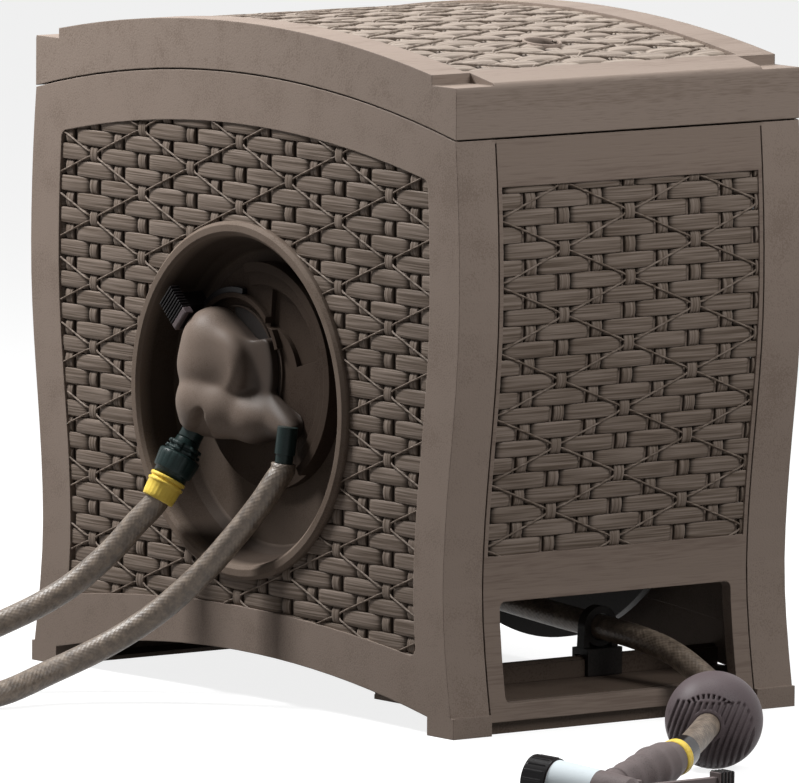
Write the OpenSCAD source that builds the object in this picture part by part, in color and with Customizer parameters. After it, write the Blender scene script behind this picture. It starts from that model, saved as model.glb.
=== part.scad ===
// Hose reel in a woven-look cabinet, with a recessed water motor that winds the drum.
// Millimetres, +Z up. The outlet faces -Y, the water motor faces -X, the feet stand on z = 0.

/* [Cabinet] */
// Width across the two side panels
cab_w = 376; // [350:2:400]
// Depth across the belly of the side profile
cab_d = 626; // [606:2:650]
// Height of the lid seam at the four corners
seam_z = 514; // [504:1:530]
// Rise of the lid seam from the corners to the crown
seam_rise = 35; // [28:1:42]
// Height of the widest place of the side profile
belly_z = 375; // [340:5:400]
// Height of the narrowest place of the side profile
pinch_z = 120; // [100:5:140]
// How far the profile draws in at its narrowest place
pinch_in = 20; // [10:1:24]
// How far the profile draws in at the seam
top_in = 7; // [3:1:10]
// How far the profile flares out again down to the feet
flare_out = 12; // [6:1:16]
// Height of the foot blocks
foot_h = 18; // [14:1:24]
// Length of a foot block from front to back
foot_l = 37; // [30:1:44]
// Rise of the arch between the feet
arch_rise = 27; // [16:1:32]
// Wall of the moulded panels
wall = 4; // [3:0.5:5]
// Width of the corner posts
post_w = 42; // [36:1:48]
// Depth of the woven fields behind the frames around them
field_in = 6; // [4:0.5:7]
// Seam between a front or rear panel and the posts
panel_gap = 1.5; // [1:0.5:3]

/* [Outlet] */
// Width of the hose outlet
outlet_w = 254; // [220:2:262]
// Height of the sill of the outlet
sill_z = 26; // [22:1:32]
// Height of the outlet opening
outlet_h = 87; // [76:1:92]
// Thickness of the front panel around the outlet
block_t = 12; // [10:1:16]

/* [Lid] */
// Height of the lid over the seam at the crown
lid_h = 45; // [40:1:52]
// Drop of the lid's top from the crown to the front edge
lid_drop = 32; // [26:1:36]
// Depth of the woven field in the lid
lid_field_in = 8; // [5:1:10]
// Width of the rails at the sides of the lid
rail_w = 38; // [32:1:44]
// Length of the corner notches
notch_l = 34; // [28:1:40]
// Gap between the lid and the cabinet
lid_gap = 1.5; // [1:0.25:2.5]
// Wall of the lid
lid_wall = 4; // [3:0.5:5]

/* [Well] */
// Height of the drum's axis and of the centre of the motor well
axis_z = 263; // [258:1:268]
// Radius of the ring around the well
ring_r = 157; // [150:1:164]
// Width of that ring
ring_w = 12; // [9:1:15]
// How far the ring stands out of the side panel
ring_out = 5; // [3:1:7]
// Depth of the well's floor behind the side panel
well_depth = 38; // [34:1:42]
// How far the well's wall draws in from the ring's lip to the floor
cup_draft = 9; // [8:1:16]

/* [Motor] */
// Distance of the motor's axis from the drum's axis, set by the gears
gear_mod = 2; // [2:0.5:2.5]
// Teeth of the gear on the drum
gear_teeth = 36; // [36:4:40]
// Teeth of the motor's pinion
pinion_teeth = 12; // [12:4:16]
// Angle from +Y up to the motor's axis, seen from +X
motor_angle = 33; // [25:1:40]
// Distance of the dial plate's centre above the drum's axis
dial_up = 20; // [16:1:24]
// Least width of bare floor round the dial plate
dial_clear = 9; // [5:1:15]
// Radius of the motor housing at its foot
dome_r = 58; // [54:1:60]
// Radius of the turbine chamber
chamber_r = 27; // [24:1:29]
// Angle from +Y up to the control lever
lever_angle = 43; // [38:1:46]
// Room between the lever's grip and the lip of the well
grip_clear = 9.5657; // [8:0.0001:14]

/* [Drum] */
// Radius of the drum's flanges
flange_r = 232; // [210:2:234]
// Thickness of a flange
flange_t = 4; // [3:0.5:6]
// Radius of the drum's hub
hub_r = 80; // [74:1:90]
// Radius of the swivel spindle
spindle_r = 14; // [12:0.5:15]
// Radius of the far axle
axle_r = 12; // [10:0.5:14]
// Radial play of a running fit
run_fit = 0.05; // [0.03:0.01:0.08]

/* [Hose] */
// Outside diameter of the hoses
hose_d = 22; // [20:0.5:23]
// Radius from the drum's axis to the middle of the outer layer
wind_r = 151; // [140:1:156]
// Turns of the outer layer
wind_turns = 10.5; // [9:0.5:10.5]
// Radius of the hose stop ball
ball_r = 41.5; // [38:0.5:41.5]
// Mean radius of the first turn of a leader hose's coil
coil_r = 121; // [115:1:128]
// Step of a coil's spiral in one turn
coil_step = 23.5; // [23:0.5:26]
// Turns of a leader hose's coil
coil_turns = 1.35; // [1.3:0.05:1.5]

/* [Hidden] */

$fn = 64;
eps = 0.02;
side_x = cab_w / 2;
foot_y = edge_y(foot_h) + 4;
arch_half = foot_y - foot_l;
seam_y = edge_y(seam_z);
lid_top = seam_z + seam_rise + lid_h;
panel_w = cab_w - 2 * post_w - 2 * panel_gap;
edge_steps = 18;
arc_steps = 20;

// Points whose X is counted from the motor-side face
function off_side(pts) = [for (p = pts) [p[0] - side_x, p[1], p[2]]];

// Ways of the three hoses, from the cabinet to the floor
supply_route = off_side([
    [-39, 99, 147.6], [-53, 112.5, 125], [-78, 131, 96.6], [-105, 147, 76.4],
    [-142, 161, 59], [-173, 184.5, 41.5], [-201, 206.5, 24.5], [-219.5, 221.5, 14.8]
]);
drain_route = off_side([
    [10, -51, 212], [9.4, -50.7, 206], [2, -49.3, 196], [-8, -41, 176], [-24, -22, 144.5],
    [-42, 0, 112.5], [-67, 30, 77.5], [-102, 54, 50], [-152, 70, 27.6], [-208, 68, 12.9],
    [-252, 77, 11.3], [-294, 96.5, 11.3]
]);
front_route = [
    [30, 13, 90], [33, -40, 86.5], [40, -95, 80], [48, -150, 73.5], [54.5, -200, 68.6], [57.5, -250, 64.2],
    [58.2, -300, 56], [58.5, -345, 38.8], [56.5, -375, 23.4], [50.4, -400, 14], [43.9, -415.7, 11.6],
    [34.9, -430.1, 11.3], [23.2, -443.2, 11.3], [6.4, -460.1, 11.3], [-7.5, -473.1, 11.5],
    [-19.6, -484.3, 12.9], [-31.7, -495.6, 17.7], [-43.8, -506.9, 26.6], [-55.8, -518.1, 35.6],
    [-68, -529.4, 40.4], [-80, -540.6, 42], [-110.7, -569.2, 42], [-141.4, -597.8, 42],
    [-160, -614.8, 40.9], [-180, -631.7, 38.6], [-202, -649.5, 36], [-222, -665.4, 34]
];
ball_at = [-110.7, -569.2, 42];
ball_to = [-141.4, -597.8, 42];
band_at = [-231, -672.5, 33.1];
neck_at = [-338, -711, 18];
barrel_at = [-341, -741, 17.2];
nozzle_tip = [-372.4, -657.3, 24];
connector_at = off_side([[2, 77, 221]])[0];
connector_to = off_side([[-26, 86, 168.4]])[0];
drain_port = off_side([[12, -52, 232]])[0];
connector_dir = unit(connector_to - connector_at);
drain_dir = unit(drain_route[0] - drain_port);

// Half depth of the side profile at a height: an S from the belly to the pinch, then a flare
function edge_y(z) =
    z >= belly_z ? cab_d / 2 - top_in * pow((z - belly_z) / (seam_z - belly_z), 2)
    : z >= pinch_z ? cab_d / 2 - pinch_in * (1 - cos(180 * (belly_z - z) / (belly_z - pinch_z))) / 2
    : cab_d / 2 - pinch_in + flare_out * pow((pinch_z - z) / (pinch_z - foot_h), 1.5);

// Points up the profile between two heights, set in from its edge
function edge_pts(z0, z1, inset = 0, n = edge_steps) =
    [for (i = [0:n]) let (z = z0 + (z1 - z0) * i / n) [edge_y(z) - inset, z]];

// Points of a flat arch from +Y to -Y: half width, height of its ends and its rise
function arch_pts(half, z_end, rise, n = arc_steps) =
    let (r = (half * half + rise * rise) / (2 * rise))
    [for (i = [0:n]) let (y = half * (1 - 2 * i / n)) [y, z_end + rise - r + sqrt(r * r - y * y)]];

function arch_z(y, half, z_end, rise) =
    let (r = (half * half + rise * rise) / (2 * rise)) z_end + rise - r + sqrt(r * r - y * y);

function flip_y(pts) = [for (i = [len(pts) - 1:-1:0]) [-pts[i][0], pts[i][1]]];
function reversed(pts) = [for (i = [len(pts) - 1:-1:0]) pts[i]];
function slice(v, a, b) = [for (i = [a:b]) v[i]];
function unit(v) = v / norm(v);

// A profile drawn in Y and Z, carried along +X
module yz(h) { rotate([90, 0, 90]) linear_extrude(h) children(); }

// Something turned about an axis along X: its Z runs to -X, its origin on the axis
module to_motor_side(y, z) { translate([0, y, z]) rotate([0, -90, 0]) children(); }

// The cabinet's side view: feet, S edges, arched seam and the arch between the feet
module side_outline() {
    up = edge_pts(foot_h, seam_z);
    top = arch_pts(seam_y, seam_z, seam_rise);
    under = reversed(arch_pts(arch_half, foot_h - 2, arch_rise));
    polygon(concat(
        [[foot_y, 0], [foot_y, foot_h]], slice(up, 0, edge_steps - 1), top,
        slice(flip_y(up), 1, edge_steps), [[-foot_y, foot_h], [-foot_y, 0], [-arch_half, 0]],
        under, [[arch_half, 0]]));
}

// Outline of a woven field in a side panel, parallel to the S edges
field_top = seam_z - 36;
field_bot = 65;
field_rise = 27;
field_sag = 17;
module side_field(grow = 0) {
    up = edge_pts(field_bot, field_top, post_w);
    offset(delta = grow) offset(r = 8) offset(delta = -8) polygon(concat(
        up, arch_pts(edge_y(field_top) - post_w, field_top, field_rise),
        flip_y(up), reversed(arch_pts(edge_y(field_bot) - post_w, field_bot, field_sag))));
}

// A strip of the front wall from x0, between two depths under the profile
module strip_at(x0, w, z0, z1, d0, d1) {
    translate([x0, 0, 0]) yz(w) polygon(concat(
        [for (p = edge_pts(z0, z1, d0)) [-p[0], p[1]]],
        reversed([for (p = edge_pts(z0, z1, d1)) [-p[0], p[1]]])));
}
module front_strip(w, z0, z1, d0, d1) { strip_at(-w / 2, w, z0, z1, d0, d1); }

// Motor-side panel before its well is cut: plate, sunken field, posts and feet
module side_shell() {
    translate([-side_x, 0, 0]) difference() {
        union() {
            yz(wall) side_outline();
            yz(field_in + wall) side_field(wall);
            for (s = [0, 1]) mirror([0, s, 0]) {
                strip_at(0, post_w, foot_h - eps, seam_z, 0, wall + 1);
                strip_at(post_w - 4, 4, foot_h - eps, front_top, wall, lip_d + 4);
                strip_at(post_w - 4, lip_w + 4, lip_z0, front_top, lip_d, lip_d + 4);
                translate([0, -foot_y, 0]) cube([post_w, foot_l, foot_h]);
            }
        }
        translate([-1, 0, 0]) yz(field_in + 1) side_field();
        for (s = [0, 1], z = screw_z) mirror([0, s, 0]) screw_hole(side_x - screw_x, z);
    }
}

// Lip on each post that an end panel is screwed to from inside
lip_d = block_t;
lip_w = 10;
lip_z0 = sill_z + 6;
boss_r = 24;
far_boss_x = side_x - field_in - wall;
hub_x0 = -(side_x - well_depth - wall) + 20;
hub_x1 = far_boss_x - 37;
far_flange_x = hub_x1 + flange_t;
hole_r = ring_r - 7;
cup_corner = 7;
floor_r = ring_r - ring_w - cup_draft;
dial_r = floor_r - cup_corner - dial_up - dial_clear;

module motor_side_panel() {
    color("#7d7067") difference() {
        side_shell();
        to_motor_side(0, axis_z) translate([0, 0, side_x - 20]) cylinder(r = hole_r, h = 30);
    }
}

module far_side_panel() {
    color("#7d7067") mirror([1, 0, 0]) side_shell();
    color("#7d7067") difference() {
        to_motor_side(0, axis_z) translate([0, 0, -far_boss_x - eps]) cylinder(r = boss_r, h = 14);
        to_motor_side(0, axis_z) translate([0, 0, -far_boss_x]) cylinder(r = axle_r, h = 20);
    }
}

front_top = seam_z - lid_gap;
front_bot = 11;
band_h = 41;
front_field_z0 = 153;
front_field_w = panel_w - 8;

screw_x = panel_w / 2 - 6;
screw_z = [180, 310, 440];
screw_r = 1.6;
module screw_hole(x, z) {
    translate([x, -edge_y(z) + wall + 1, z]) rotate([-90, 0, 0]) cylinder(r = screw_r, h = 20);
}

// Front or rear panel between the posts, with its woven field sunk in
module end_panel(field_z0) {
    difference() {
        union() {
            front_strip(panel_w, front_bot, front_top, 0, wall);
            front_strip(panel_w, field_z0 - wall, seam_z - band_h + wall, wall, field_in + wall);
            for (x = [-panel_w / 2, panel_w / 2 - lip_w])
                strip_at(x, lip_w, lip_z0, front_top, wall - eps, block_t - 0.35);
        }
        for (x = [-screw_x, screw_x], z = screw_z) screw_hole(x, z);
        front_strip(front_field_w, field_z0, seam_z - band_h, -2, field_in);
    }
}

module front_panel() {
    color("#6f6259") difference() {
        union() {
            end_panel(front_field_z0);
            front_strip(panel_w, front_bot, front_field_z0, wall - eps, block_t - 0.35);
        }
        translate([-outlet_w / 2, -cab_d / 2 - 10, sill_z]) rotate([90, 0, 0]) translate([0, 0, -60])
            linear_extrude(80) offset(r = 6) offset(delta = -6) square([outlet_w, outlet_h]);
    }
}

hinge_y = seam_y + 1.5;
hinge_z = seam_z + 0.5;
hinge_x = 96;
knuckle_l = 16;
barrel_r = 5;
pin_r = 2.5;

// One barrel on the rear hinge line, with a web to the wall above or below it
module knuckle(x0, len, up) {
    difference() {
        union() {
            translate([x0, hinge_y, hinge_z]) rotate([0, 90, 0]) cylinder(r = barrel_r, h = len);
            if (up)
                translate([x0, hinge_y - 4, hinge_z]) cube([len, 4, 12]);
            else
                translate([x0, hinge_y - 4, hinge_z - 12]) cube([len, 4, 12]);
        }
        translate([x0 - 1, hinge_y, hinge_z]) rotate([0, 90, 0])
            cylinder(r = up ? pin_r + run_fit : pin_r, h = len + 2);
    }
}

module rear_panel() {
    color("#6f6259") {
        difference() {
            mirror([0, 1, 0]) end_panel(62);
            for (s = [-1, 1]) translate([s * hinge_x - knuckle_l / 2 - 0.4, hinge_y, hinge_z])
                rotate([0, 90, 0]) cylinder(r = barrel_r + 0.6, h = knuckle_l + 0.8);
        }
        for (s = [-1, 1], t = [-1, 1])
            knuckle(s * hinge_x + t * (knuckle_l + 0.4) - knuckle_l / 2, knuckle_l, false);
    }
}

module hinge_pins() {
    color("#8b8d8f") for (s = [-1, 1]) translate([s * hinge_x - 24.4, hinge_y, hinge_z])
        rotate([0, 90, 0]) cylinder(r = pin_r, h = 48.8);
}

tray_l = 96;
inner_x = side_x - wall - 0.3;
tray_y = -edge_y(sill_z) + lip_d + wall + 0.3;
bar_y = -edge_y(foot_h) + 5;
bar_w = cab_w - 2 * post_w;

// Tray behind the sill that carries the hose, with the bar that stands under the panel
module front_tray() {
    color("#5f534b") {
        translate([-inner_x, tray_y, sill_z - wall]) cube([2 * inner_x, tray_l, wall]);
        translate([-bar_w / 2, bar_y, 0]) cube([bar_w, wall, front_bot - 0.3]);
        translate([-panel_w / 2, bar_y + wall - eps, 0]) cube([panel_w, 16, wall]);
        for (x = [-panel_w / 2, -44, 40, panel_w / 2 - wall])
            translate([x, bar_y + 15, 0]) cube([wall, wall + 1, sill_z - wall + eps]);
    }
}

module rear_tray() {
    color("#5f534b") mirror([0, 1, 0]) {
        translate([-bar_w / 2, bar_y, 0]) cube([bar_w, wall, front_bot - 0.3]);
        translate([-panel_w / 2, bar_y + wall - eps, 0]) cube([panel_w, 30, wall]);
    }
}

rail_y = tray_y + tray_l - 8;
rail_h = 18;
rail_d = 14;
module guide_rail() {
    color("#63574f") {
        translate([-inner_x, rail_y - rail_d / 2, sill_z]) cube([2 * inner_x, rail_d, rail_h - 3]);
        translate([-inner_x, rail_y, sill_z + rail_h - 4]) rotate([0, 90, 0])
            cylinder(r = 4, h = 2 * inner_x);
    }
}

guide_w = 38;
ring_k = (rail_y - front_route[4][1]) / (front_route[5][1] - front_route[4][1]);
ring_at = front_route[4] + ring_k * (front_route[5] - front_route[4]);

// Saddle on the rail with a splayed fork and the ring that the hose runs through
module hose_guide() {
    color("#3a332f") translate([ring_at[0], 0, 0]) {
        difference() {
            translate([-guide_w / 2, rail_y - rail_d / 2 - 4.3, sill_z + 0.3])
                cube([guide_w, rail_d + 8.6, rail_h + 6]);
            translate([-guide_w, rail_y - rail_d / 2 - 0.3, sill_z - 1])
                cube([2 * guide_w, rail_d + 0.6, rail_h + 1.6]);
        }
        difference() {
            union() {
                translate([0, rail_y + 5, ring_at[2]]) rotate([90, 0, 0]) cylinder(r = 18, h = 10);
                for (s = [-1, 1]) translate([0, rail_y - 5, 0]) rotate([-90, 0, 0]) linear_extrude(10)
                    polygon([[s * 12, -sill_z - rail_h - 5], [s * 19, -sill_z - rail_h - 5],
                             [s * 17.9, -ring_at[2]], [s * 14, -ring_at[2]]]);
            }
            translate(front_route[4] - [ring_at[0], 0, 0]) translate(-2 * (front_route[5] - front_route[4]))
                along([0, 0, 0], front_route[5] - front_route[4]) cylinder(r = hose_r + 0.8, h = 250);
        }
    }
}

lid_z0 = seam_z + lid_gap;
lid_y = seam_y + 0.5;
lid_fillet = 6;

function lid_z(y) = arch_z(y, seam_y, lid_top - lid_drop, lid_drop);
function lid_arc(z_in, half = seam_y) = arch_pts(half, lid_z(half) - z_in, lid_z(0) - lid_z(half));

// The lid's side view, between the seam and the low arch of its top, with rounded ends
module lid_outline() {
    under = arch_pts(seam_y, lid_z0, seam_rise);
    cap = lid_arc(0, lid_y - lid_fillet);
    z1 = cap[0][1];
    corner = [for (a = [0:15:75]) [lid_y - lid_fillet, z1 - lid_fillet] + lid_fillet * [cos(a), sin(a)]];
    polygon(concat(reversed(under), [[lid_y, lid_z0 + 0.5]], corner, cap,
        flip_y(corner), [[-lid_y, lid_z0 + 0.5]]));
}

finger_x = 4;
finger_y = -178;

module lid() {
    notch_z = lid_top - lid_drop - 2;
    color("#84776d") {
        difference() {
            translate([-side_x, 0, 0]) yz(cab_w) lid_outline();
            translate([-side_x + lid_wall, 0, 0]) yz(cab_w - 2 * lid_wall) polygon(concat(
                [[-seam_y + lid_wall, seam_z - 10], [seam_y - lid_wall, seam_z - 10]],
                lid_arc(lid_field_in + lid_wall, seam_y - lid_wall)));
            translate([-side_x + rail_w, 0, 0]) yz(cab_w - 2 * rail_w) polygon(concat(
                [[-270 + 4, lid_top + 20]], reversed(lid_arc(lid_field_in, 266)), [[266, lid_top + 20]]));
            for (s = [-1, 1], t = [-1, 1])
                translate([s * (side_x - rail_w / 2 - 1), t * (seam_y - notch_l / 2 + 4), notch_z + 20])
                    cube([rail_w + 4, notch_l + 8, 40], center = true);
            translate([finger_x, finger_y, lid_top - 60]) cylinder(r = 15, h = 100);
            for (s = [-1, 1], t = [-1, 1])
                translate([s * hinge_x + t * (knuckle_l + 0.4) - knuckle_l / 2 - 0.4, hinge_y, hinge_z])
                    rotate([0, 90, 0]) cylinder(r = barrel_r + 0.6, h = knuckle_l + 0.8);
            for (s = [-1, 1]) translate([s * hinge_x - knuckle_l / 2, hinge_y, hinge_z])
                rotate([0, 90, 0]) cylinder(r = barrel_r - 0.5, h = knuckle_l);
        }
        for (s = [-1, 1]) knuckle(s * hinge_x - knuckle_l / 2, knuckle_l, true);
        for (s = [0, 1]) mirror([s, 0, 0]) {
            translate([-skirt_x, 0, 0]) yz(skirt_t) skirt_band(-skirt_drop, 10);
            translate([-skirt_x - 0.4, 0, 0]) yz(0.5) skirt_band(lid_gap + 1.5, 10);
        }
    }
}

// Skirt inside each side of the lid: it drops behind the side panel and closes the seam
skirt_t = 2;
skirt_drop = 8;
skirt_x = side_x - lid_wall - 0.35;
module skirt_band(low, high) {
    ys = [for (i = [0:24]) -292 + 572 * i / 24];
    polygon(concat([for (y = ys) [y, arch_z(y, seam_y, seam_z, seam_rise) + low]],
        [for (i = [24:-1:0]) [ys[i], arch_z(ys[i], seam_y, seam_z, seam_rise) + high]]));
}

floor_h = side_x - well_depth;
motor_d = gear_mod * (gear_teeth + pinion_teeth) / 2;
motor_y = motor_d * cos(motor_angle);
motor_z = axis_z + motor_d * sin(motor_angle);
shaft_r = 5;
dial_z = axis_z + dial_up;

// Bowl of the well with the ring that laps over the woven field
module well_cup() {
    face = side_x + ring_out;
    seat = side_x - field_in;
    lip = ring_r - ring_w;
    color("#73665d") difference() {
        to_motor_side(0, axis_z) rotate_extrude($fn = 96) polygon([
            [0, floor_h - wall], [floor_r + 1, floor_h - wall], [hole_r - 0.4, seat], [ring_r, seat],
            [ring_r, face - 3], [ring_r - 3, face], [lip + 3, face], [lip, face - 3],
            [floor_r + 1, floor_h + 9], [floor_r - cup_corner, floor_h], [0, floor_h]]);
        to_motor_side(0, axis_z) translate([0, 0, floor_h - 10]) cylinder(r = spindle_r, h = 20);
        to_motor_side(motor_y, motor_z) translate([0, 0, floor_h - 10])
            cylinder(r = shaft_r + run_fit, h = 20);
        for (p = screw_spots) to_motor_side(motor_y + p[0], motor_z + p[1])
            translate([0, 0, floor_h - 10]) cylinder(r = 2, h = 20);
    }
}

// A wedge in the plane of the well, between two angles from +Y
module wedge(a0, a1, r, h) {
    linear_extrude(h) polygon(concat([[0, 0]], [for (i = [0:12])
        let (a = a0 + (a1 - a0) * i / 12) r * [sin(a), cos(a)]]));
}

dial_t = 8;
// Plate behind the motor with two raised arcs and the window that the pointer travels in
module dial_plate() {
    color("#4a413b") difference() {
        union() {
            to_motor_side(0, dial_z) translate([0, 0, floor_h]) cylinder(r = dial_r, h = dial_t, $fn = 96);
            to_motor_side(0, dial_z) translate([0, 0, floor_h + dial_t - eps]) intersection() {
                union() {
                    rotate_extrude($fn = 96) translate([dial_r - 8, 0]) square([8, 8]);
                    rotate_extrude($fn = 96) translate([dial_r - 20, 0]) square([12, 4]);
                }
                wedge(75, 235, 2 * dial_r, 10);
            }
            intersection() {
                to_motor_side(motor_y, ring_z) translate([0, 0, dome_h - eps]) rotate_extrude($fn = 96)
                    translate([lever_in - 4.5, 0]) square([4.4, 6]);
                to_motor_side(motor_y, ring_z) translate([0, 0, dome_h - 1])
                    wedge(-20, 160, 2 * dial_r, 10);
                to_motor_side(0, dial_z) translate([0, 0, floor_h]) cylinder(r = dial_r, h = 20, $fn = 96);
            }
        }
        to_motor_side(0, dial_z) translate([0, 0, floor_h + 3]) intersection() {
            rotate_extrude($fn = 96) translate([44, 0]) square([33, 20]);
            wedge(95, 165, 2 * dial_r, 20);
        }
        to_motor_side(motor_y, motor_z) translate([0, 0, floor_h - 1]) cylinder(r = shaft_r + 1, h = 20);
        for (p = screw_spots) to_motor_side(motor_y + p[0], motor_z + p[1])
            translate([0, 0, floor_h - 1]) cylinder(r = 2, h = 20);
    }
}

screw_spots = [[-20, -50], [42, -26], [-30, 40], [36, 36]];
dome_h = floor_h + dial_t;
chamber_h = 26;
ring_z = motor_z - 3;
port_in = connector_at - 27 * connector_dir;
port_out = drain_port - 12 * drain_dir;

// Domed housing of the water motor: a bulge over the shaft and two lobes for the ports
module motor_housing() {
    color("#7b6e64") difference() {
        union() {
            hull() {
                to_motor_side(motor_y, ring_z) translate([0, 0, dome_h])
                    cylinder(r = dome_r, h = 2, $fn = 40);
                translate([-dome_h - 3, motor_y, motor_z + 18]) sphere(r = 31, $fn = 32);
                translate([-dome_h - 2, motor_y + 22, motor_z - 26]) sphere(r = 33, $fn = 32);
            }
            hull() {
                to_motor_side(motor_y - 16, motor_z - 16) translate([0, 0, dome_h])
                    cylinder(r = 42, h = 2, $fn = 32);
                translate([-dome_h, motor_y - 46, motor_z - 27]) sphere(r = 31, $fn = 32);
                translate([-dome_h - 6, drain_port[1] + 7, drain_port[2] + 14]) sphere(r = 18, $fn = 24);
                translate([-dome_h - 2, motor_y - 4, motor_z - 4]) sphere(r = 28, $fn = 24);
            }
        }
        translate([-dome_h, -200, axis_z - 200]) cube([100, 400, 400]);
        to_motor_side(motor_y, motor_z) translate([0, 0, dome_h - 1])
            cylinder(r = chamber_r + 0.6, h = chamber_h + 1);
        along(port_in, connector_at) cylinder(r = 10.5, h = 60);
        along(port_in - 2 * connector_dir, [-dome_h - 12, motor_y + 14, motor_z - 20])
            cylinder(r = 5, h = 24);
        along(port_out, drain_port) cylinder(r = 9, h = 60);
    }
}

// Turbine that the water turns, keyed to the pinion's shaft
module turbine_wheel() {
    color("#d8d4c8") to_motor_side(motor_y, motor_z) translate([0, 0, dome_h + 1]) {
        difference() {
            cylinder(r = 11, h = chamber_h - 3);
            translate([0, 0, -1]) cylinder(r = shaft_r, h = chamber_h);
        }
        for (a = [0:30:330]) rotate(a) translate([10.5, -1, 0]) cube([chamber_r - 11, 2, chamber_h - 3]);
        difference() {
            cylinder(r = chamber_r - 1, h = 2);
            translate([0, 0, -1]) cylinder(r = 10.5, h = 4);
        }
    }
}

// Corners of a spur gear: four straight-sided points for each tooth
function gear_pts(n, m, slack) = let (
        r = n * m / 2, tip = r + 0.9 * m, root = r - 1.2 * m, half = (PI * m / 2 - slack) / 2,
        wide = half + 1.2 * m * tan(20), slim = half - 0.9 * m * tan(20))
    [for (i = [0:n - 1], k = [0:3]) let (
        a = 360 * i / n + [-1, -1, 1, 1][k] * (k == 0 || k == 3 ? wide / root : slim / tip) * 180 / PI,
        q = k == 0 || k == 3 ? root : tip) q * [cos(a), sin(a)]];

gear_x = -floor_h + wall + 4;
gear_w = 11;

// Pinion and shaft; the shaft reaches back through the well's floor into the turbine
module motor_pinion() {
    mesh_turn = 180 + motor_angle_z + 180 / pinion_teeth;
    color("#b8aa80") {
        translate([gear_x + 0.5, motor_y, motor_z]) rotate([0, 90, 0]) rotate(mesh_turn)
            linear_extrude(gear_w - 1) polygon(gear_pts(pinion_teeth, gear_mod, 0.45));
        to_motor_side(motor_y, motor_z) translate([0, 0, -gear_x - 1])
            cylinder(r = shaft_r, h = dome_h + chamber_h - 3 + gear_x);
    }
}
// The motor's angle as it appears in the gears' own plane
motor_angle_z = motor_angle - 90;

module drive_gear() {
    color("#c9bd93") translate([gear_x, 0, axis_z]) rotate([0, 90, 0]) difference() {
        rotate(motor_angle_z) linear_extrude(gear_w) polygon(gear_pts(gear_teeth, gear_mod, 0.45));
        translate([0, 0, -1]) cylinder(r = spindle_r + 4, h = gear_w + 2);
    }
}

// A flange with a rolled rim and ribs on its outer face; z = 0 is the face towards the hose
module flange(bore, boss_h) {
    difference() {
        union() {
            cylinder(r = flange_r, h = flange_t, $fn = 128);
            rotate_extrude($fn = 128) translate([flange_r - 8, 0]) square([8, flange_t + 5]);
            cylinder(r = boss_r, h = flange_t + boss_h);
            for (a = [15:30:345]) rotate(a) translate([hub_r - 10, -1.5, 0])
                cube([flange_r - hub_r + 4, 3, flange_t + 4]);
        }
        translate([0, 0, -1]) cylinder(r = bore, h = 60);
        for (a = [0:60:300]) rotate(a) translate([50, 0, -1]) cylinder(r = 9, h = 20);
    }
}

flange_x0 = gear_x + gear_w + flange_t;
module motor_flange() {
    color("#2b2725") translate([flange_x0, 0, axis_z]) rotate([0, -90, 0]) flange(spindle_r + run_fit, 0);
    color("#2b2725") difference() {
        translate([gear_x + 0.3, 0, axis_z]) rotate([0, 90, 0]) cylinder(r = spindle_r + 4, h = gear_w);
        translate([gear_x - 1, 0, axis_z]) rotate([0, 90, 0])
            cylinder(r = spindle_r + run_fit, h = gear_w + 3);
    }
}

bush_t = 3;
module far_flange() {
    color("#2b2725") translate([hub_x1, 0, axis_z]) rotate([0, 90, 0])
        flange(axle_r + run_fit + bush_t, 10);
}

module drum_hub() {
    color("#37312e") translate([flange_x0, 0, axis_z]) rotate([0, 90, 0]) difference() {
        cylinder(r = hub_r, h = hub_x1 - flange_x0, $fn = 96);
        translate([0, 0, -1]) cylinder(r = hub_r - 4, h = hub_x1 - flange_x0 + 2, $fn = 96);
        translate([0, 0, elbow_x - flange_x0]) rotate([0, 90, 0]) cylinder(r = 9, h = 100);
    }
}

elbow_x = -50;
spindle_x1 = -64;
// Hollow spindle that carries the drum and lets the water through
module swivel_spindle() {
    color("#8a7f5c") difference() {
        translate([-floor_h, 0, axis_z]) rotate([0, 90, 0])
            cylinder(r = spindle_r, h = spindle_x1 + floor_h);
        translate([-floor_h + 2, 0, axis_z]) rotate([0, 90, 0]) cylinder(r = 8, h = 200);
        for (x = [-80, -72]) translate([x - 2, 0, axis_z]) rotate([0, 90, 0]) difference() {
            cylinder(r = spindle_r + 1, h = 4);
            translate([0, 0, -1]) cylinder(r = spindle_r - 3, h = 6);
        }
    }
}

module swivel_seals() {
    color("#1d1d1d") for (x = [-80, -72]) translate([x, 0, axis_z]) rotate([0, 90, 0])
        rotate_extrude($fn = 48) translate([spindle_r - 1.5, 0]) circle(r = 1.45, $fn = 24);
}

// Cup that turns on the spindle's end and leads the water out through the hub
module hub_elbow() {
    color("#3b3f38") difference() {
        union() {
            translate([-86, 0, axis_z]) rotate([0, 90, 0]) cylinder(r = spindle_r + 5, h = 46);
            translate([elbow_x, 0, axis_z]) rotate([180, 0, 0]) cylinder(r = 9 - run_fit, h = hub_r - 0.3);
        }
        translate([-87, 0, axis_z]) rotate([0, 90, 0])
            cylinder(r = spindle_r + run_fit, h = spindle_x1 + 88);
        translate([-87, 0, axis_z]) rotate([0, 90, 0]) cylinder(r = 8, h = 42);
        translate([elbow_x, 0, axis_z]) rotate([180, 0, 0]) cylinder(r = 6, h = hub_r + 4);
    }
}

module far_axle() {
    color("#9a9c9e") difference() {
        translate([hub_x1 - 8, 0, axis_z]) rotate([0, 90, 0])
            cylinder(r = axle_r, h = far_boss_x - hub_x1 + 8);
        translate([hub_x1 - 5, 0, axis_z]) rotate([0, 90, 0]) difference() {
            cylinder(r = axle_r + 1, h = 2);
            translate([0, 0, -1]) cylinder(r = axle_r - 2, h = 4);
        }
    }
}

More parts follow.
